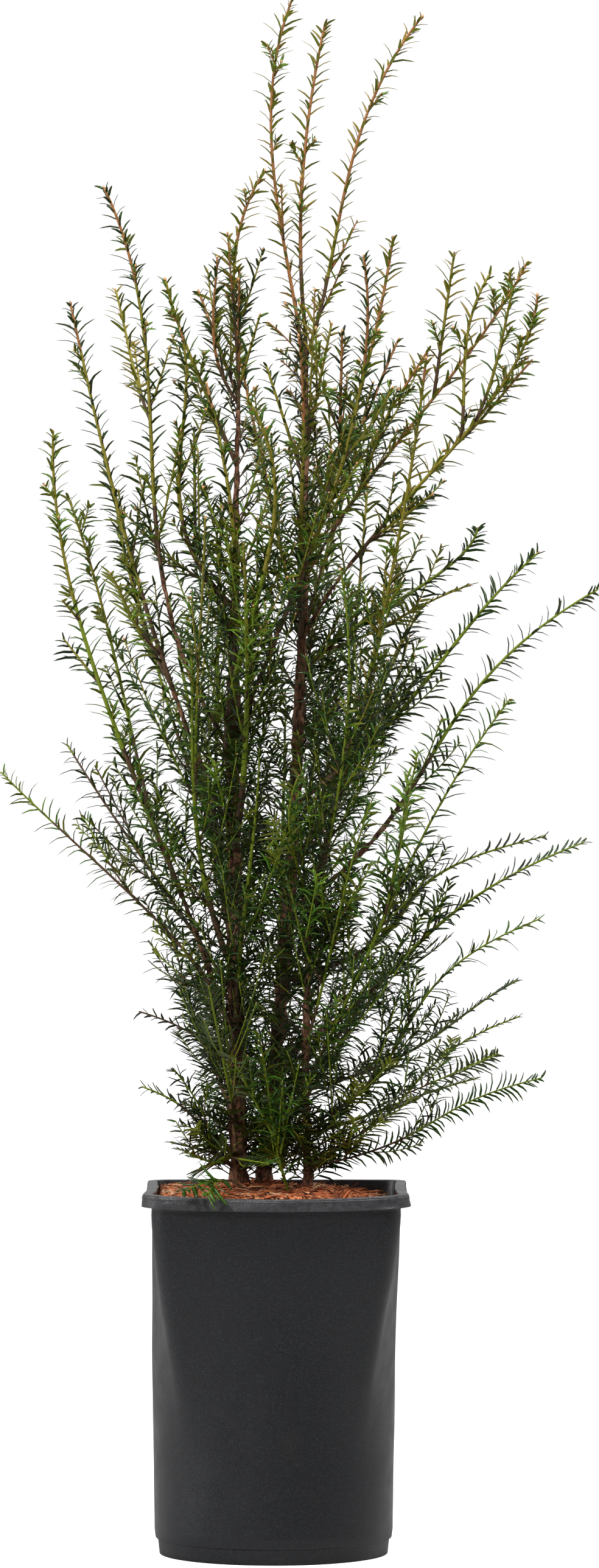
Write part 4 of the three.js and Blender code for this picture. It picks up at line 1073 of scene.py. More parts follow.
def make_pot(settings, materials):
    """The pot: a profile of wall, foot, rim and skirt carried round a path that turns from circle to square,
    with drain holes cut through its floor."""
    top, wall, foot_height, edge = POT["height"], POT["wall"], POT["foot_height"], -POT["overhang"]
    foot, skirt, skirt_inside = POT["base_half"] - POT["foot_half"], top - POT["skirt"], edge + SKIRT_WALL
    corners = [
        (foot + 9, 0.9), (foot + 7, 0), (foot + 0.2, 0), (foot - 1, foot_height), (0.8, foot_height + 1.5),
        (0, 22), (0, top - wall), (skirt_inside, top - wall), (skirt_inside, skirt), (edge, skirt),
        (edge + RIM_LEAN, top), (wall, top), (wall, 22), (foot + wall, foot_height),
        (foot + wall, POT["floor"]),
    ]
    profile = eased_profile(corners, POT_EASE, settings.step / MM)
    rings = pot_point(pot_angles(POT_STEPS)[None], profile[:, 1:2], profile[:, :1])
    wander(rings, *WAVES, settings.waviness, rings[..., 2:] < skirt - 3)
    wander(rings, *DENTS, settings.dents, rings[..., 2:] > skirt - 0.5)
    pot = add_piece("pot_body", *closed_loft(rings), materials, "pot", ["pot"])
    round_way = np.linspace(0, 2 * np.pi, HOLE_SIDES, endpoint=False)
    circle = np.stack([np.cos(round_way), np.sin(round_way), 0 * round_way], -1) * POT["hole_radius"]
    for k in range(POT["holes"]):
        turn = (k + 0.5) * 2 * np.pi / POT["holes"]
        ring = np.array([np.cos(turn), np.sin(turn), 0]) * POT["hole_circle"] + circle
        cut_away(pot, *closed_loft(np.stack([ring + [0, 0, z] for z in HOLE_CUT])))
    return pot


def cut_away(piece, points, faces):
    """Cuts a closed shape out of a piece."""
    mesh = bpy.data.meshes.new("cutter")
    mesh.from_pydata((points * MM).tolist(), [], [face for kind in faces for face in kind.tolist()])
    cutter = placed("cutter", mesh)
    cut = piece.modifiers.new("cut", "BOOLEAN")
    cut.operation, cut.solver, cut.object = "DIFFERENCE", "EXACT", cutter
    bpy.context.view_layer.update()
    made = bpy.data.meshes.new_from_object(piece.evaluated_get(bpy.context.evaluated_depsgraph_get()))
    piece.modifiers.clear()
    piece.data = made
    bpy.data.objects.remove(cutter)


def soil_height(x, y):
    """Height of the potting mix: level in the middle, lower at the right, lumpy near the wall, and heaped
    round the foot of each stem."""
    half = POT["top_half"]
    outwards = smooth((np.hypot(x, y) / half - SOIL["level_radius"]) / (1 - SOIL["level_radius"]))
    lumps = SOIL["lump"] * np.sin(x * SOIL["lump_x"] + 1) * np.sin(y * SOIL["lump_y"] + 2)
    slope = np.where(x > 0, -SOIL["right_dip"] * (x / half), -SOIL["left_rise"] * (x / half))
    heap = 0
    for stem in STEMS.values():
        beside, behind = x - stem["foot"][0], y - stem["foot"][1]
        heap = np.maximum(heap, np.exp(-(beside ** 2 + behind ** 2) / HEAP_REACH ** 2))
    return SOIL["level"] + outwards * (slope + lumps - SOIL["wall_dip"]) + HEAP * heap


def soil_edge(angle, margin=0.0):
    """The edge of the mix, seen from above: the pot's inside, less its shrinkage and a margin."""
    inset = POT["wall"] + SOIL["off_the_wall"] + SOIL["shrinkage"] + margin
    return pot_point(angle, SOIL["level"], inset)[..., :2]


def on_the_mix(flat, lift):
    """Points seen from above, set at a lift over the mix."""
    return np.concatenate([flat, (soil_height(flat[..., 0], flat[..., 1]) + lift)[..., None]], -1)


def make_mix(materials):
    """The potting mix fills the pot. Its surface follows the rule's height with two sizes of lumps on it."""
    angle = pot_angles(MIX_STEPS)
    inset = POT["wall"] + MIX["off_the_pot"]
    foot = POT["base_half"] - POT["foot_half"] + inset
    levels = [(foot, POT["floor"] + GAP), (foot, POT["foot_height"])]
    levels += [(inset, z) for z in np.linspace(MIX["from"], MIX["to"], MIX["levels"])]
    walls = np.array([pot_point(angle, z, side) for side, z in levels])
    inwards = np.linspace(1, MIX["middle"], MIX["rings"])
    top = on_the_mix(soil_edge(angle)[None] * inwards[:, None, None], 0)
    rough = sum(high * (noise(top, size, seed) - 0.5) for high, size, seed in MIX_LUMPS)
    top[..., 2] += rough * smooth(np.linspace(0, 1, MIX["rings"]) / MIX["edge"])[:, None]
    loft = closed_loft(np.concatenate([walls, top]))
    return add_piece("mix_body", *loft, materials, "potting_mix", ["potting_mix"])


def make_chips(settings, materials):
    """Shreds of bark lying on the mix: short bent slats, widest in the middle, thrown at all angles. Long
    ones are rarer, lie more level and keep further in. A few near the front stand on end."""
    i = np.arange(settings.chips)
    luck = [chance(i, c, 51) for c in range(11)]
    long = lerp(CHIP["shortest"], settings.chip_length / MM, luck[0] ** CHIP["rarer"])
    inwards = np.sqrt(luck[2]) * (1 - long / CHIP["inner"])
    where = soil_edge(luck[1] * 2 * np.pi, CHIP["margin"]) * inwards[:, None]
    yaw = luck[3] * 2 * np.pi
    pitch = np.radians(CHIP["pitch"]) * (luck[4] - 0.5) * (1 - long / CHIP["levelled"])
    half_wide = lerp(CHIP["narrow"], CHIP["wide"], luck[5] ** 2)
    thick = lerp(CHIP["thin"], CHIP["thick"], luck[6])
    tone = (luck[10] * len(materials)).astype(int)
    stand, upright = len(UPRIGHT_CHIPS), np.array(UPRIGHT_CHIPS)
    where[:stand], long[:stand] = upright[:, :2], upright[:, 2]
    yaw[:stand], pitch[:stand] = np.arange(stand) * GOLDEN_ANGLE, np.radians(UPRIGHT_CHIP["pitch"])
    half_wide[:stand], thick[:stand] = UPRIGHT_CHIP["half_wide"], UPRIGHT_CHIP["thick"]
    tone[:stand] = np.arange(stand) % 3
    way = np.stack([np.cos(pitch) * np.cos(yaw), np.cos(pitch) * np.sin(yaw), np.sin(pitch)], -1)
    level = unit(np.stack([-np.sin(yaw), np.cos(yaw), 0 * yaw], -1))
    roll = (np.radians(CHIP["roll"]) * (luck[7] - 0.5))[:, None]
    side = level * np.cos(roll) + np.cross(way, level) * np.sin(roll)
    face = np.cross(way, side)
    raised = 0.5 * long * np.sin(np.abs(pitch)) * np.where(i < stand, 0.8, 0.55)
    middle = on_the_mix(where, raised + CHIP["lift"] + CHIP["pile"] * luck[8])
    bend = (luck[9] - 0.5) * CHIP["bend"] * long
    grid = []
    for s, wide in CHIP_STATIONS:
        centre = middle + way * (long * s)[:, None] + face * (bend * (4 * s * s - 0.5))[:, None]
        a, b = side * (half_wide * wide)[:, None], face * (thick * 0.5 * (0.5 + wide / 2))[:, None]
        grid.append(np.stack([centre + a + b, centre - a + b, centre - a - b, centre + a - b], 1))
    poles = np.stack([grid[0].mean(1), grid[-1].mean(1)], 1)
    return add_copies("mulch_chips", np.concatenate([*grid, poles], 1), loft_faces(len(grid), 4), materials,
                      "potting_mix", tone=tone, flat=True)


def make_fibres(settings, materials):
    """Loose fibres on the mix: thin tubes along short wandering curves."""
    count = settings.fibres
    luck = [chance(np.arange(count), c, 61) for c in range(8)]
    yaw, reach = luck[1] * 2 * np.pi, lerp(FIBRE["shortest"], FIBRE["longest"], luck[3])
    where = soil_edge(luck[0] * 2 * np.pi, FIBRE["margin"]) * (np.sqrt(luck[2]) * FIBRE["within"])[:, None]
    way = np.stack([np.cos(yaw), np.sin(yaw)], -1)
    turned = np.stack([-way[:, 1], way[:, 0]], -1)
    knots = []
    for s, sway, high in ((-1, 0 * reach, 0.3), (-0.3, FIBRE["sway"] * (luck[4] - 0.5), 4 * luck[5]),
                          (0.3, FIBRE["sway"] * (luck[6] - 0.5), 5 * luck[7]), (1, 0 * reach, 0.2)):
        flat = where + way * (reach * s)[:, None] + turned * (reach * sway)[:, None]
        knots.append(on_the_mix(flat, FIBRE["lift"] + high))
    points, faces = tubes(np.stack(knots, 1), np.zeros(count), np.ones(count), np.full(count, FIBRE["foot"]),
                          np.full(count, FIBRE["tip"]), FIBRE["rings"], FIBRE["sides"])
    return add_copies("mulch_fibres", points, faces, materials, "potting_mix")


# ------------------------------------------------------------------ shader groups and materials

def new_group(name, inputs, outputs):
    """A shader group with named sockets: inputs and outputs are lists of name, socket type and default."""
    tree = bpy.data.node_groups.new(name, "ShaderNodeTree")
    for direction, sockets in (("INPUT", inputs), ("OUTPUT", outputs)):
        for label, kind, default in sockets:
            socket = tree.interface.new_socket(label, in_out=direction, socket_type="NodeSocket" + kind)
            if default is not None:
                socket.default_value = default
    return tree, tree.nodes.new("NodeGroupInput"), tree.nodes.new("NodeGroupOutput")


def noise_group(name, inputs, output, kind, last, into):
    """A group round one noise of a given size and detail: the noise feeds a last node of a given kind, whose
    other inputs are named in into."""
    tree, given, out = new_group(
        name, [("Vector", "Vector", None), ("Size", "Float", 0.01), ("Detail", "Float", 3.0), *inputs],
        [(output, kind, None)])
    over, speckle, end = (tree.nodes.new("ShaderNode" + node) for node in ("Math", "TexNoise", last))
    over.operation = "DIVIDE"
    over.inputs[0].default_value = 1.0
    join = tree.links.new
    join(given.outputs["Size"], over.inputs[1])
    join(over.outputs[0], speckle.inputs["Scale"])
    for label in ("Vector", "Detail"):
        join(given.outputs[label], speckle.inputs[label])
    join(speckle.outputs["Fac"], end.inputs[into["Noise"]])
    for label, _, _ in inputs:
        join(given.outputs[label], end.inputs[into[label]])
    join(end.outputs["Result" if kind == "Float" else output], out.inputs[output])
    return end


def patches_group():
    """Patches: the noise, pulled apart so that it is 0 below one level and 1 above another."""
    spread = noise_group("Patches", [("Low", "Float", 0.4), ("High", "Float", 0.6)], "Mask", "Float",
                         "MapRange", {"Noise": "Value", "Low": "From Min", "High": "From Max"})
    spread.interpolation_type = "SMOOTHSTEP"


def relief_group():
    """Fine relief: the noise, raised to a given height, as a normal."""
    noise_group("Fine Relief", [("Height", "Float", 0.0001)], "Normal", "Vector", "Bump",
                {"Noise": "Height", "Height": "Distance"})


class Finish:
    """A material in the making: its Principled shader and the Object coordinates that its patterns read."""

    def __init__(self, name, colour, roughness, specular=0.5):
        self.made = bpy.data.materials.new(name)
        self.made.use_nodes = True
        self.nodes, self.join = self.made.node_tree.nodes, self.made.node_tree.links.new
        self.shader = self.nodes["Principled BSDF"]
        self.shader.inputs["Base Color"].default_value = (*colour, 1)
        self.shader.inputs["Roughness"].default_value = roughness
        self.shader.inputs["Specular IOR Level"].default_value = specular
        self.place = self.nodes.new("ShaderNodeTexCoord").outputs["Object"]

    def drawn_out(self, z):
        """The coordinates scaled in height: a pattern on them is drawn out upright below 1 and pressed flat
        above it."""
        mapping = self.nodes.new("ShaderNodeMapping")
        mapping.inputs["Scale"].default_value = (1, 1, z)
        self.join(self.place, mapping.inputs["Vector"])
        return mapping.outputs["Vector"]

    def grouped(self, tree, output, vector=None, **values):
        """The output of a shader group that reads the coordinates and is given values."""
        node = self.nodes.new("ShaderNodeGroup")
        node.node_tree = bpy.data.node_groups[tree]
        self.join(vector or self.place, node.inputs["Vector"])
        for label, value in values.items():
            node.inputs[label].default_value = value
        return node.outputs[output]

    def patches(self, size, low=0.4, high=0.6, detail=3.0, vector=None):
        """A mask of patches of a size: 0 where the noise is under low, 1 where it is over high."""
        return self.grouped("Patches", "Mask", vector, Size=size, Low=low, High=high, Detail=detail)

    def relief(self, size, height, detail=2.0, vector=None):
        """Small bumps of a size and a height, in the shading only."""
        normal = self.grouped("Fine Relief", "Normal", vector, Size=size, Height=height, Detail=detail)
        self.join(normal, self.shader.inputs["Normal"])

    def mixed(self, mask, a, b):
        """Colour a where the mask is 0 and b where it is 1. Either may be a colour or a socket."""
        mix = self.nodes.new("ShaderNodeMix")
        mix.data_type = "RGBA"
        self.join(mask, mix.inputs["Factor"])
        for label, value in (("A", a), ("B", b)):
            socket = next(s for s in mix.inputs if s.name == label and s.type == "RGBA")
            if isinstance(value, bpy.types.NodeSocket):
                self.join(value, socket)
            else:
                socket.default_value = (*value, 1)
        return next(s for s in mix.outputs if s.type == "RGBA")

    def above(self, level, over):
        """A mask that is 0 below a height and 1 above it."""
        parts, step = self.nodes.new("ShaderNodeSeparateXYZ"), self.nodes.new("ShaderNodeMapRange")
        step.inputs["From Min"].default_value, step.inputs["From Max"].default_value = level, level + over
        self.join(self.place, parts.inputs["Vector"])
        self.join(parts.outputs["Z"], step.inputs["Value"])
        return step.outputs["Result"]

    def ranged(self, mask, low, high):
        """Roughness from low where the mask is 0 to high where it is 1."""
        spread = self.nodes.new("ShaderNodeMapRange")
        spread.inputs["To Min"].default_value, spread.inputs["To Max"].default_value = low, high
        self.join(mask, spread.inputs["Value"])
        self.join(spread.outputs["Result"], self.shader.inputs["Roughness"])

    def coloured(self, socket):
        """The base colour, from a socket."""
        self.join(socket, self.shader.inputs["Base Color"])


def times(colour, share):
    """A colour made darker by a share below 1, or paler by one above it."""
    return tuple(c * share for c in colour)


def pot_finish(settings):
    """Black moulded plastic with a fine grain, faint upright drag marks, pale scuffs and a little dried soil.
    The rim is painted paler: partly rubbed wear, partly a painted highlight for the light that its face
    catches from above."""
    finish = Finish("pot_plastic", settings.colour, 0.42, 0.42)
    drag = finish.patches(0.012, 0.45, 0.75, 4, finish.drawn_out(0.16))
    grain = finish.patches(0.0014, 0.45, 0.7, 1)
    scuff = finish.patches(0.0028, 0.66, 0.74, 5, finish.drawn_out(2.6))
    dust = finish.patches(0.07, 0.6, 0.8, 6)
    colour = finish.mixed(drag, settings.colour, times(settings.colour, 1.25))
    for mask, over in ((grain, times(settings.colour, 4)), (scuff, settings.scuff), (dust, settings.dust)):
        colour = finish.mixed(mask, colour, over)
    # Painted light and wear: everything above the skirt's foot takes a paler rim colour, partly for rubbing
    # and partly as a painted highlight for the light that the rim's face catches from above.
    rubbed_and_lit_rim = finish.mixed(finish.patches(0.004, 0.3, 0.7, 4), settings.scuff, settings.rubbed_and_lit_rim)
    under_skirt = (POT["height"] - POT["skirt"] - 3.5) * MM
    finish.coloured(finish.mixed(finish.above(under_skirt, 0.0005), colour, rubbed_and_lit_rim))
    finish.ranged(finish.patches(0.02, 0.3, 0.7), 0.27, 0.36)
    finish.relief(0.0009, 0.0003)
    return [finish.made]


def mulch_finishes(settings):
    """Shredded bark: four plain tones dealt by shred, with a fibrous skin."""
    made = []
    for k, tone in enumerate((settings.dark, settings.mulch, settings.orange, settings.pale)):
        finish = Finish("mulch_" + "abcd"[k], tone, 0.9, 0.25)
        finish.relief(0.0016, 0.0004, 3)
        finish.ranged(finish.patches(0.004), 0.82, 0.95)
        made.append(finish.made)
    return made


def mix_finish(settings):
    """The mix between the shreds: dark crumbs with reddish ones among them."""
    finish = Finish("mix_crumbs", settings.mulch, 0.95, 0.2)
    crumbs = finish.patches(0.004, 0.42, 0.6, 6)
    finish.coloured(finish.mixed(crumbs, times(settings.mulch, 0.25), times(settings.mulch, 0.9)))
    finish.relief(0.0022, 0.0014, 4)
    return [finish.made]


def fibre_finish(settings):
    """Dry fibres, of the reddest shreds' colour."""
    finish = Finish("mulch_fibre", settings.orange, 0.85, 0.2)
    finish.ranged(finish.patches(0.003), 0.75, 0.92)
    return [finish.made]


def bark_finish(settings):
    """Bark in dark and brown upright strips, greyer on the plates, with fine fissures."""
    finish = Finish("bark", settings.bark, 0.85, 0.3)
    strips = finish.patches(0.0022, 0.42, 0.56, 5, finish.drawn_out(0.4))
    plates = finish.patches(0.008, 0.5, 0.62, 3, finish.drawn_out(0.35))
    colour = finish.mixed(strips, times(settings.bark, 0.25), settings.bark)
    finish.coloured(finish.mixed(plates, colour, settings.bark_plates))
    finish.ranged(finish.patches(0.004), 0.75, 0.95)
    finish.relief(0.0014, 0.001, 4, finish.drawn_out(0.2))
    return [finish.made]


def plain_finish(name, colour, roughness, specular):
    """A plain base colour, with roughness that varies a little over the surface."""
    finish = Finish(name, colour, roughness, specular)
    finish.ranged(finish.patches(0.002), roughness - 0.08, roughness + 0.08)
    return finish.made


def needle_finishes(settings):
    """The needles' colours: five for their upper faces and two for their undersides."""
    tops = (settings.dark, settings.middle, settings.olive, settings.fresh, settings.bronze)
    unders = (settings.under, settings.under_fresh)
    made = [plain_finish("needle_top_" + "abcde"[k], c, *NEEDLE_GLOSS[k]) for k, c in enumerate(tops)]
    return made + [plain_finish("needle_under_" + "ab"[k], c, *UNDER_GLOSS) for k, c in enumerate(unders)]


def wood_finishes(settings):
    """The rods' colours: brown wood, and young shoots by height."""
    return [plain_finish("twig_" + name, getattr(settings, name + "_wood"), 0.6, 0.3)
            for name in ("brown", "green", "olive", "tan")]


def bud_finishes(settings):
    """Pale buds and darker ones."""
    return [plain_finish("bud_tan", settings.bud, 0.5, 0.4),
            plain_finish("bud_brown", times(settings.bud, 0.45), 0.55, 0.4)]


# ------------------------------------------------------------------ settings

def size(name, description, default, **limits):
    """A length in metres that a user may change."""
    return FloatProperty(name=name, description=description, default=default, unit="LENGTH", precision=5,
                         **limits)


def colour(name, description, *display):
    """A colour that a user may change, given in 0-255 display values."""
    return FloatVectorProperty(name=name, description=description, default=srgb(*display), subtype="COLOR",
                               size=3, min=0.0, max=1.0)


class YewPotSettings(PropertyGroup):
    """The pot's sizes and colours."""
    step: size("Wall step", "Longest step of the pot's profile", 0.008, min=0.001)
    waviness: size("Waviness", "How far the thin wall wanders from its true shape", 0.0008, min=0.0)
    dents: size("Dents", "Depth of the shallow dents round the rim", 0.0016, min=0.0)
    colour: colour("Plastic", "Colour of the pot's plastic", 10, 11, 14)
    scuff: colour("Scuffs", "Colour of the pale scuffs", 46, 46, 47)
    # The rim's colour: partly rubbed wear, partly a painted highlight for the light that the rim catches from
    # above.
    rubbed_and_lit_rim: colour("Worn rim", "Colour of the rim where it is rubbed", 60, 60, 63)
    dust: colour("Dried soil", "Colour of the soil dried onto the wall", 40, 36, 33)


class YewMixSettings(PropertyGroup):
    """The mulch's counts and colours."""
    chips: IntProperty(name="Shreds", description="Number of bark shreds on the mix", default=2700, min=10)
    chip_length: size("Longest shred", "Length of the longest shreds", 0.024, min=0.004)
    fibres: IntProperty(name="Fibres", description="Number of loose fibres on the mix", default=620, min=1)
    mulch: colour("Shreds", "Colour of most bark shreds", 186, 112, 76)
    dark: colour("Dark shreds", "Colour of the darkest shreds", 104, 56, 36)
    orange: colour("Orange shreds", "Colour of the reddest shreds", 200, 116, 70)
    pale: colour("Pale shreds", "Colour of the palest shreds", 208, 164, 128)


class YewBarkSettings(PropertyGroup):
    """The sizes and colours of bark, twigs and buds."""
    depth: size("Relief", "Depth of the bark's plates and strips", 0.0016, min=0.0)
    bark: colour("Bark", "Colour of the bark", 114, 76, 54)
    bark_plates: colour("Plates", "Colour of the greyer plates of the bark", 138, 102, 76)
    brown_wood: colour("Brown wood", "Colour of the older twigs", 84, 62, 42)
    green_wood: colour("Green shoots", "Colour of the young shoots low on the plant", 106, 122, 18)
    olive_wood: colour("Olive shoots", "Colour of the young shoots further up", 122, 114, 28)
    tan_wood: colour("Tan shoots", "Colour of the highest shoots", 146, 98, 54)
    bud: colour("Buds", "Colour of the buds", 200, 150, 100)
    bud_length: size("Bud length", "Length of the bud at a shoot's tip", 0.0027, min=0.001)
    bud_spacing: size("Bud spacing", "Distance between the buds on a shoot's last growth", 0.036, min=0.005)


class YewNeedleSettings(PropertyGroup):
    """The needles' sizes, angles and colours."""
    length: size("Length", "Length of a needle low on the plant", 0.022, min=0.005)
    high_length: size("Length at the top", "Length of a needle on the highest shoots", 0.019, min=0.005)
    width: size("Width", "Width of a needle low on the plant", 0.0024, min=0.0005)
    high_width: size("Width at the top", "Width of a needle on the highest shoots", 0.0025, min=0.0005)
    thickness: size("Thickness", "Thickness of a needle at its ridge", 0.0005, min=0.0001)
    pitch: size("Pitch", "Distance from one needle to the next low on the plant", 0.0028, min=0.001)
    high_pitch: size("Pitch at the top", "Distance from one needle to the next on the highest shoots", 0.0035,
                     min=0.001)
    lean: FloatProperty(name="Lean", description="Angle from the shoot, in degrees", default=43.0)
    tip_lean: FloatProperty(name="Lean at the tip", description="Angle from the shoot at its tip, in degrees",
                            default=36.0)
    roll: FloatProperty(name="Roll", description="How far a spray may turn about its shoot, in degrees",
                        default=45.0)
    curl: FloatProperty(name="Curl", description="Greatest outward curl, a share of the length", default=0.46)
    dark: colour("Dark", "Colour of the oldest needles", 20, 36, 4)
    middle: colour("Middle", "Colour of most needles", 33, 61, 5)
    olive: colour("Olive", "Colour of younger needles", 55, 91, 9)
    fresh: colour("Fresh", "Colour of this year's needles", 86, 118, 15)
    bronze: colour("Bronze", "Colour of the needles on the highest leaders", 116, 101, 25)
    under: colour("Underside", "Colour of a needle's underside", 48, 62, 8)
    under_fresh: colour("Fresh underside", "Colour of a young needle's underside", 102, 108, 18)


class YewStageSettings(PropertyGroup):
    """The floor, the light and the camera."""
    floor: colour("Floor", "Colour of the floor", 190, 190, 190)
    floor_half: FloatProperty(name="Floor", description="Half the floor's side", default=40.0, unit="LENGTH")
    sky: FloatProperty(name="Front light", description="Strength of light from all the front", default=0.1)
    glow: FloatProperty(name="Floor glow", description="How much paler the floor is than lit", default=1.0)
    backdrop: FloatProperty(name="Back light", description="Strength of the light from behind", default=0.6)
    lens: FloatProperty(name="Lens", description="Focal length of the camera, in millimetres", default=153.4)
    camera: FloatVectorProperty(name="Camera", description="Where the camera stands", subtype="TRANSLATION",
                                size=3, default=(0.0226, -5.85, 0.673))


# ------------------------------------------------------------------ operators

GROWN = {}


def grown():
    """The boughs and shoots, worked out once."""
    if not GROWN:
        GROWN["boughs"], GROWN["shoots"] = grow()
    return GROWN["boughs"], GROWN["shoots"]


class YEW_OT_groups(Operator):
    """Builds the shader groups that the finishes share"""
    bl_idname = "yew.groups"
    bl_label = "Shader groups"

    def execute(self, context):
        patches_group()
        relief_group()
        return {"FINISHED"}


class YEW_OT_pot(Operator):
    """Moulds the nursery pot"""
    bl_idname = "yew.pot"
    bl_label = "Pot"

    def execute(self, context):
        settings = context.scene.yew_pot
        make_pot(settings, pot_finish(settings))
        return {"FINISHED"}


class YEW_OT_mix(Operator):
    """Fills the pot with its mix, bark shreds and fibres"""
    bl_idname = "yew.mix"
    bl_label = "Potting mix"

    def execute(self, context):
        settings = context.scene.yew_mix
        make_mix(mix_finish(settings))
        make_chips(settings, mulch_finishes(settings))
        make_fibres(settings, fibre_finish(settings))
        return {"FINISHED"}


class YEW_OT_bark(Operator):
    """Grows the stems and bare boughs with the bark's relief"""
    bl_idname = "yew.bark"
    bl_label = "Stems and boughs"

    def execute(self, context):
        settings = context.scene.yew_bark
        materials = bark_finish(settings)
        for name, stem in STEMS.items():
            make_stem(name, stem, settings.depth / MM, materials)
        make_boughs(grown()[0], settings.depth / MM, materials)
        return {"FINISHED"}


class YEW_OT_twigs(Operator):
    """Grows the leafy twigs"""
    bl_idname = "yew.twigs"
    bl_label = "Twigs"

    def execute(self, context):
        make_twigs(grown()[1], wood_finishes(context.scene.yew_bark))
        return {"FINISHED"}


class YEW_OT_buds(Operator):
    """Sets buds at the tips of the twigs"""
    bl_idname = "yew.buds"
    bl_label = "Buds"

    def execute(self, context):
        settings = context.scene.yew_bark
        sizes = {"length": settings.bud_length / MM, "spacing": settings.bud_spacing / MM}
        make_buds(grown()[1], sizes, bud_finishes(settings))
        return {"FINISHED"}


class YEW_OT_needles(Operator):
    """Sets the needles on the twigs, in one piece for each region of the crown"""
    bl_idname = "yew.needles"
    bl_label = "Needles"

    def execute(self, context):
        settings = context.scene.yew_needles
        sizes = {key: getattr(settings, key) / MM for key in
                 ("length", "high_length", "width", "high_width", "thickness", "pitch", "high_pitch")}
        sizes.update({key: getattr(settings, key) for key in ("lean", "tip_lean", "roll", "curl")})
        materials = needle_finishes(settings)
        for region in REGIONS:
            some = [s for s in grown()[1] if s["region"] == region]
            make_needles(region, some, sizes, materials)
        return {"FINISHED"}


class YEW_OT_stage(Operator):
    """Lays the floor and sets the lights and the camera"""
    bl_idname = "yew.stage"
    bl_label = "Stage"

    def execute(self, context):
        settings = context.scene.yew_stage
        make_floor(settings)
        make_world(settings)
        make_lights()
        make_camera(settings)
        return {"FINISHED"}


PIECES = (YEW_OT_groups, YEW_OT_pot, YEW_OT_mix, YEW_OT_bark, YEW_OT_twigs, YEW_OT_buds, YEW_OT_needles,
          YEW_OT_stage)
SETTINGS = {"yew_pot": YewPotSettings, "yew_mix": YewMixSettings, "yew_bark": YewBarkSettings,
            "yew_needles": YewNeedleSettings, "yew_stage": YewStageSettings}


class YEW_PT_panel(Panel):
    """Lists the settings and the pieces of the yew"""
    bl_idname = "YEW_PT_panel"
    bl_label = "Potted Yew"
    bl_space_type = "VIEW_3D"
    bl_region_type = "UI"
    bl_category = "Potted Yew"

    def draw(self, context):
        for key, kind in SETTINGS.items():
            box = self.layout.box()
            for field in kind.__annotations__:
                box.prop(getattr(context.scene, key), field)
        for piece in PIECES:
            self.layout.operator(piece.bl_idname)


# ------------------------------------------------------------------ stage

def make_floor(settings):
    """A plain level floor. It looks paler than it is lit, so that it meets the pale surroundings."""
    half = settings.floor_half
    mesh = bpy.data.meshes.new("floor")
    corners = [(-half, -half, 0), (half, -half, 0), (half, half, 0), (-half, half, 0)]
    mesh.from_pydata(corners, [], [(0, 1, 2, 3)])
    finish = Finish("floor_paint", settings.floor, 0.9, 0.1)
    finish.ranged(finish.patches(0.4), 0.86, 0.94)
    finish.shader.inputs["Emission Color"].default_value = (1, 1, 1, 1)
    seen, glow = finish.nodes.new("ShaderNodeLightPath"), finish.nodes.new("ShaderNodeMath")
    glow.operation = "MULTIPLY"
    glow.inputs[1].default_value = settings.glow
    finish.join(seen.outputs["Is Camera Ray"], glow.inputs[0])
    finish.join(glow.outputs[0], finish.shader.inputs["Emission Strength"])
    mesh.materials.append(finish.made)
    placed("floor", mesh)


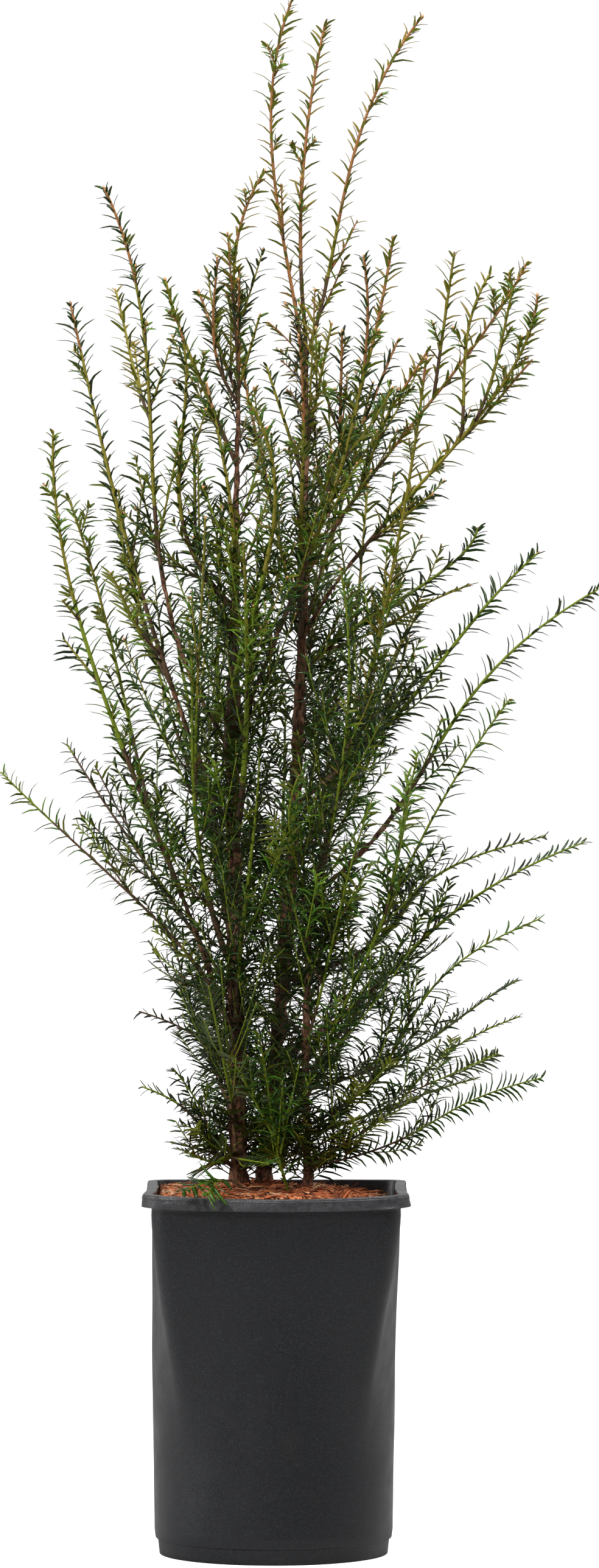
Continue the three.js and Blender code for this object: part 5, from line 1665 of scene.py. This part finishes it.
def make_world(settings):
    """White surroundings. They light the plant strongly from behind and weakly from the front, by how far a
    direction points backwards."""
    world = bpy.data.worlds.new("surroundings")
    world.use_nodes = True
    nodes, join = world.node_tree.nodes, world.node_tree.links.new
    seen = nodes["Background"]
    seen.inputs["Color"].default_value = (1, 1, 1, 1)
    seen.inputs["Strength"].default_value = 1.0
    felt = nodes.new("ShaderNodeBackground")
    felt.inputs["Color"].default_value = (1, 1, 1, 1)
    way, parts, spread = (nodes.new("ShaderNode" + kind) for kind in ("TexCoord", "SeparateXYZ", "MapRange"))
    spread.interpolation_type = "SMOOTHSTEP"
    for label, value in (("From Min", 0.0), ("From Max", 0.9), ("To Min", settings.sky),
                         ("To Max", settings.backdrop)):
        spread.inputs[label].default_value = value
    join(way.outputs["Generated"], parts.inputs["Vector"])
    join(parts.outputs["Y"], spread.inputs["Value"])
    join(spread.outputs["Result"], felt.inputs["Strength"])
    path, pick = nodes.new("ShaderNodeLightPath"), nodes.new("ShaderNodeMixShader")
    join(path.outputs["Is Camera Ray"], pick.inputs["Fac"])
    join(felt.outputs[0], pick.inputs[1])
    join(seen.outputs[0], pick.inputs[2])
    join(pick.outputs[0], nodes["World Output"].inputs["Surface"])
    bpy.context.scene.world = world


def make_lights():
    """Four soft boxes: one on either side, one at the left front and one above."""
    bpy.context.scene.view_settings.view_transform = "Standard"
    for name, place, aim, width, power in (
        ("box_left", (-2.4, -0.3, 1.0), (0, 0, 0.6), 1.0, 28),
        ("box_right", (2.4, 0.2, 1.4), (0, 0, 0.7), 1.0, 20),
        ("box_front", (-1.8, -3.4, 2.6), (0, 0, 0.8), 0.7, 100),
        ("box_top", (0.3, -0.7, 3.0), (0, 0, 0.8), 1.0, 80),
    ):
        light = bpy.data.lights.new(name, "AREA")
        light.shape, light.size, light.energy = "SQUARE", width, power
        lamp = placed(name, light)
        lamp.location = place
        lamp.rotation_euler = (Vector(aim) - Vector(place)).to_track_quat("-Z", "Y").to_euler()


def make_camera(settings):
    """A level camera in front of the plant."""
    data = bpy.data.cameras.new("camera")
    data.lens, data.sensor_width = settings.lens, 36
    data.clip_start, data.clip_end = 0.1, 60
    camera = placed("camera", data)
    camera.location = settings.camera
    camera.rotation_euler = (math.radians(90), 0, 0)
    bpy.context.scene.camera = camera


# ------------------------------------------------------------------ running it

CLASSES = (*SETTINGS.values(), *PIECES, YEW_PT_panel)


def register():
    """Registers the classes and gives the scene its settings."""
    for kind in CLASSES:
        bpy.utils.register_class(kind)
    for key, kind in SETTINGS.items():
        setattr(bpy.types.Scene, key, PointerProperty(type=kind))


def unregister():
    """Takes back what register did."""
    for key in SETTINGS:
        delattr(bpy.types.Scene, key)
    for kind in reversed(CLASSES):
        bpy.utils.unregister_class(kind)


def main():
    """Builds every piece in order."""
    register()
    for piece in ("groups", "stage", "pot", "mix", "bark", "twigs", "buds", "needles"):
        getattr(bpy.ops.yew, piece)()


if __name__ == "__main__":
    main()
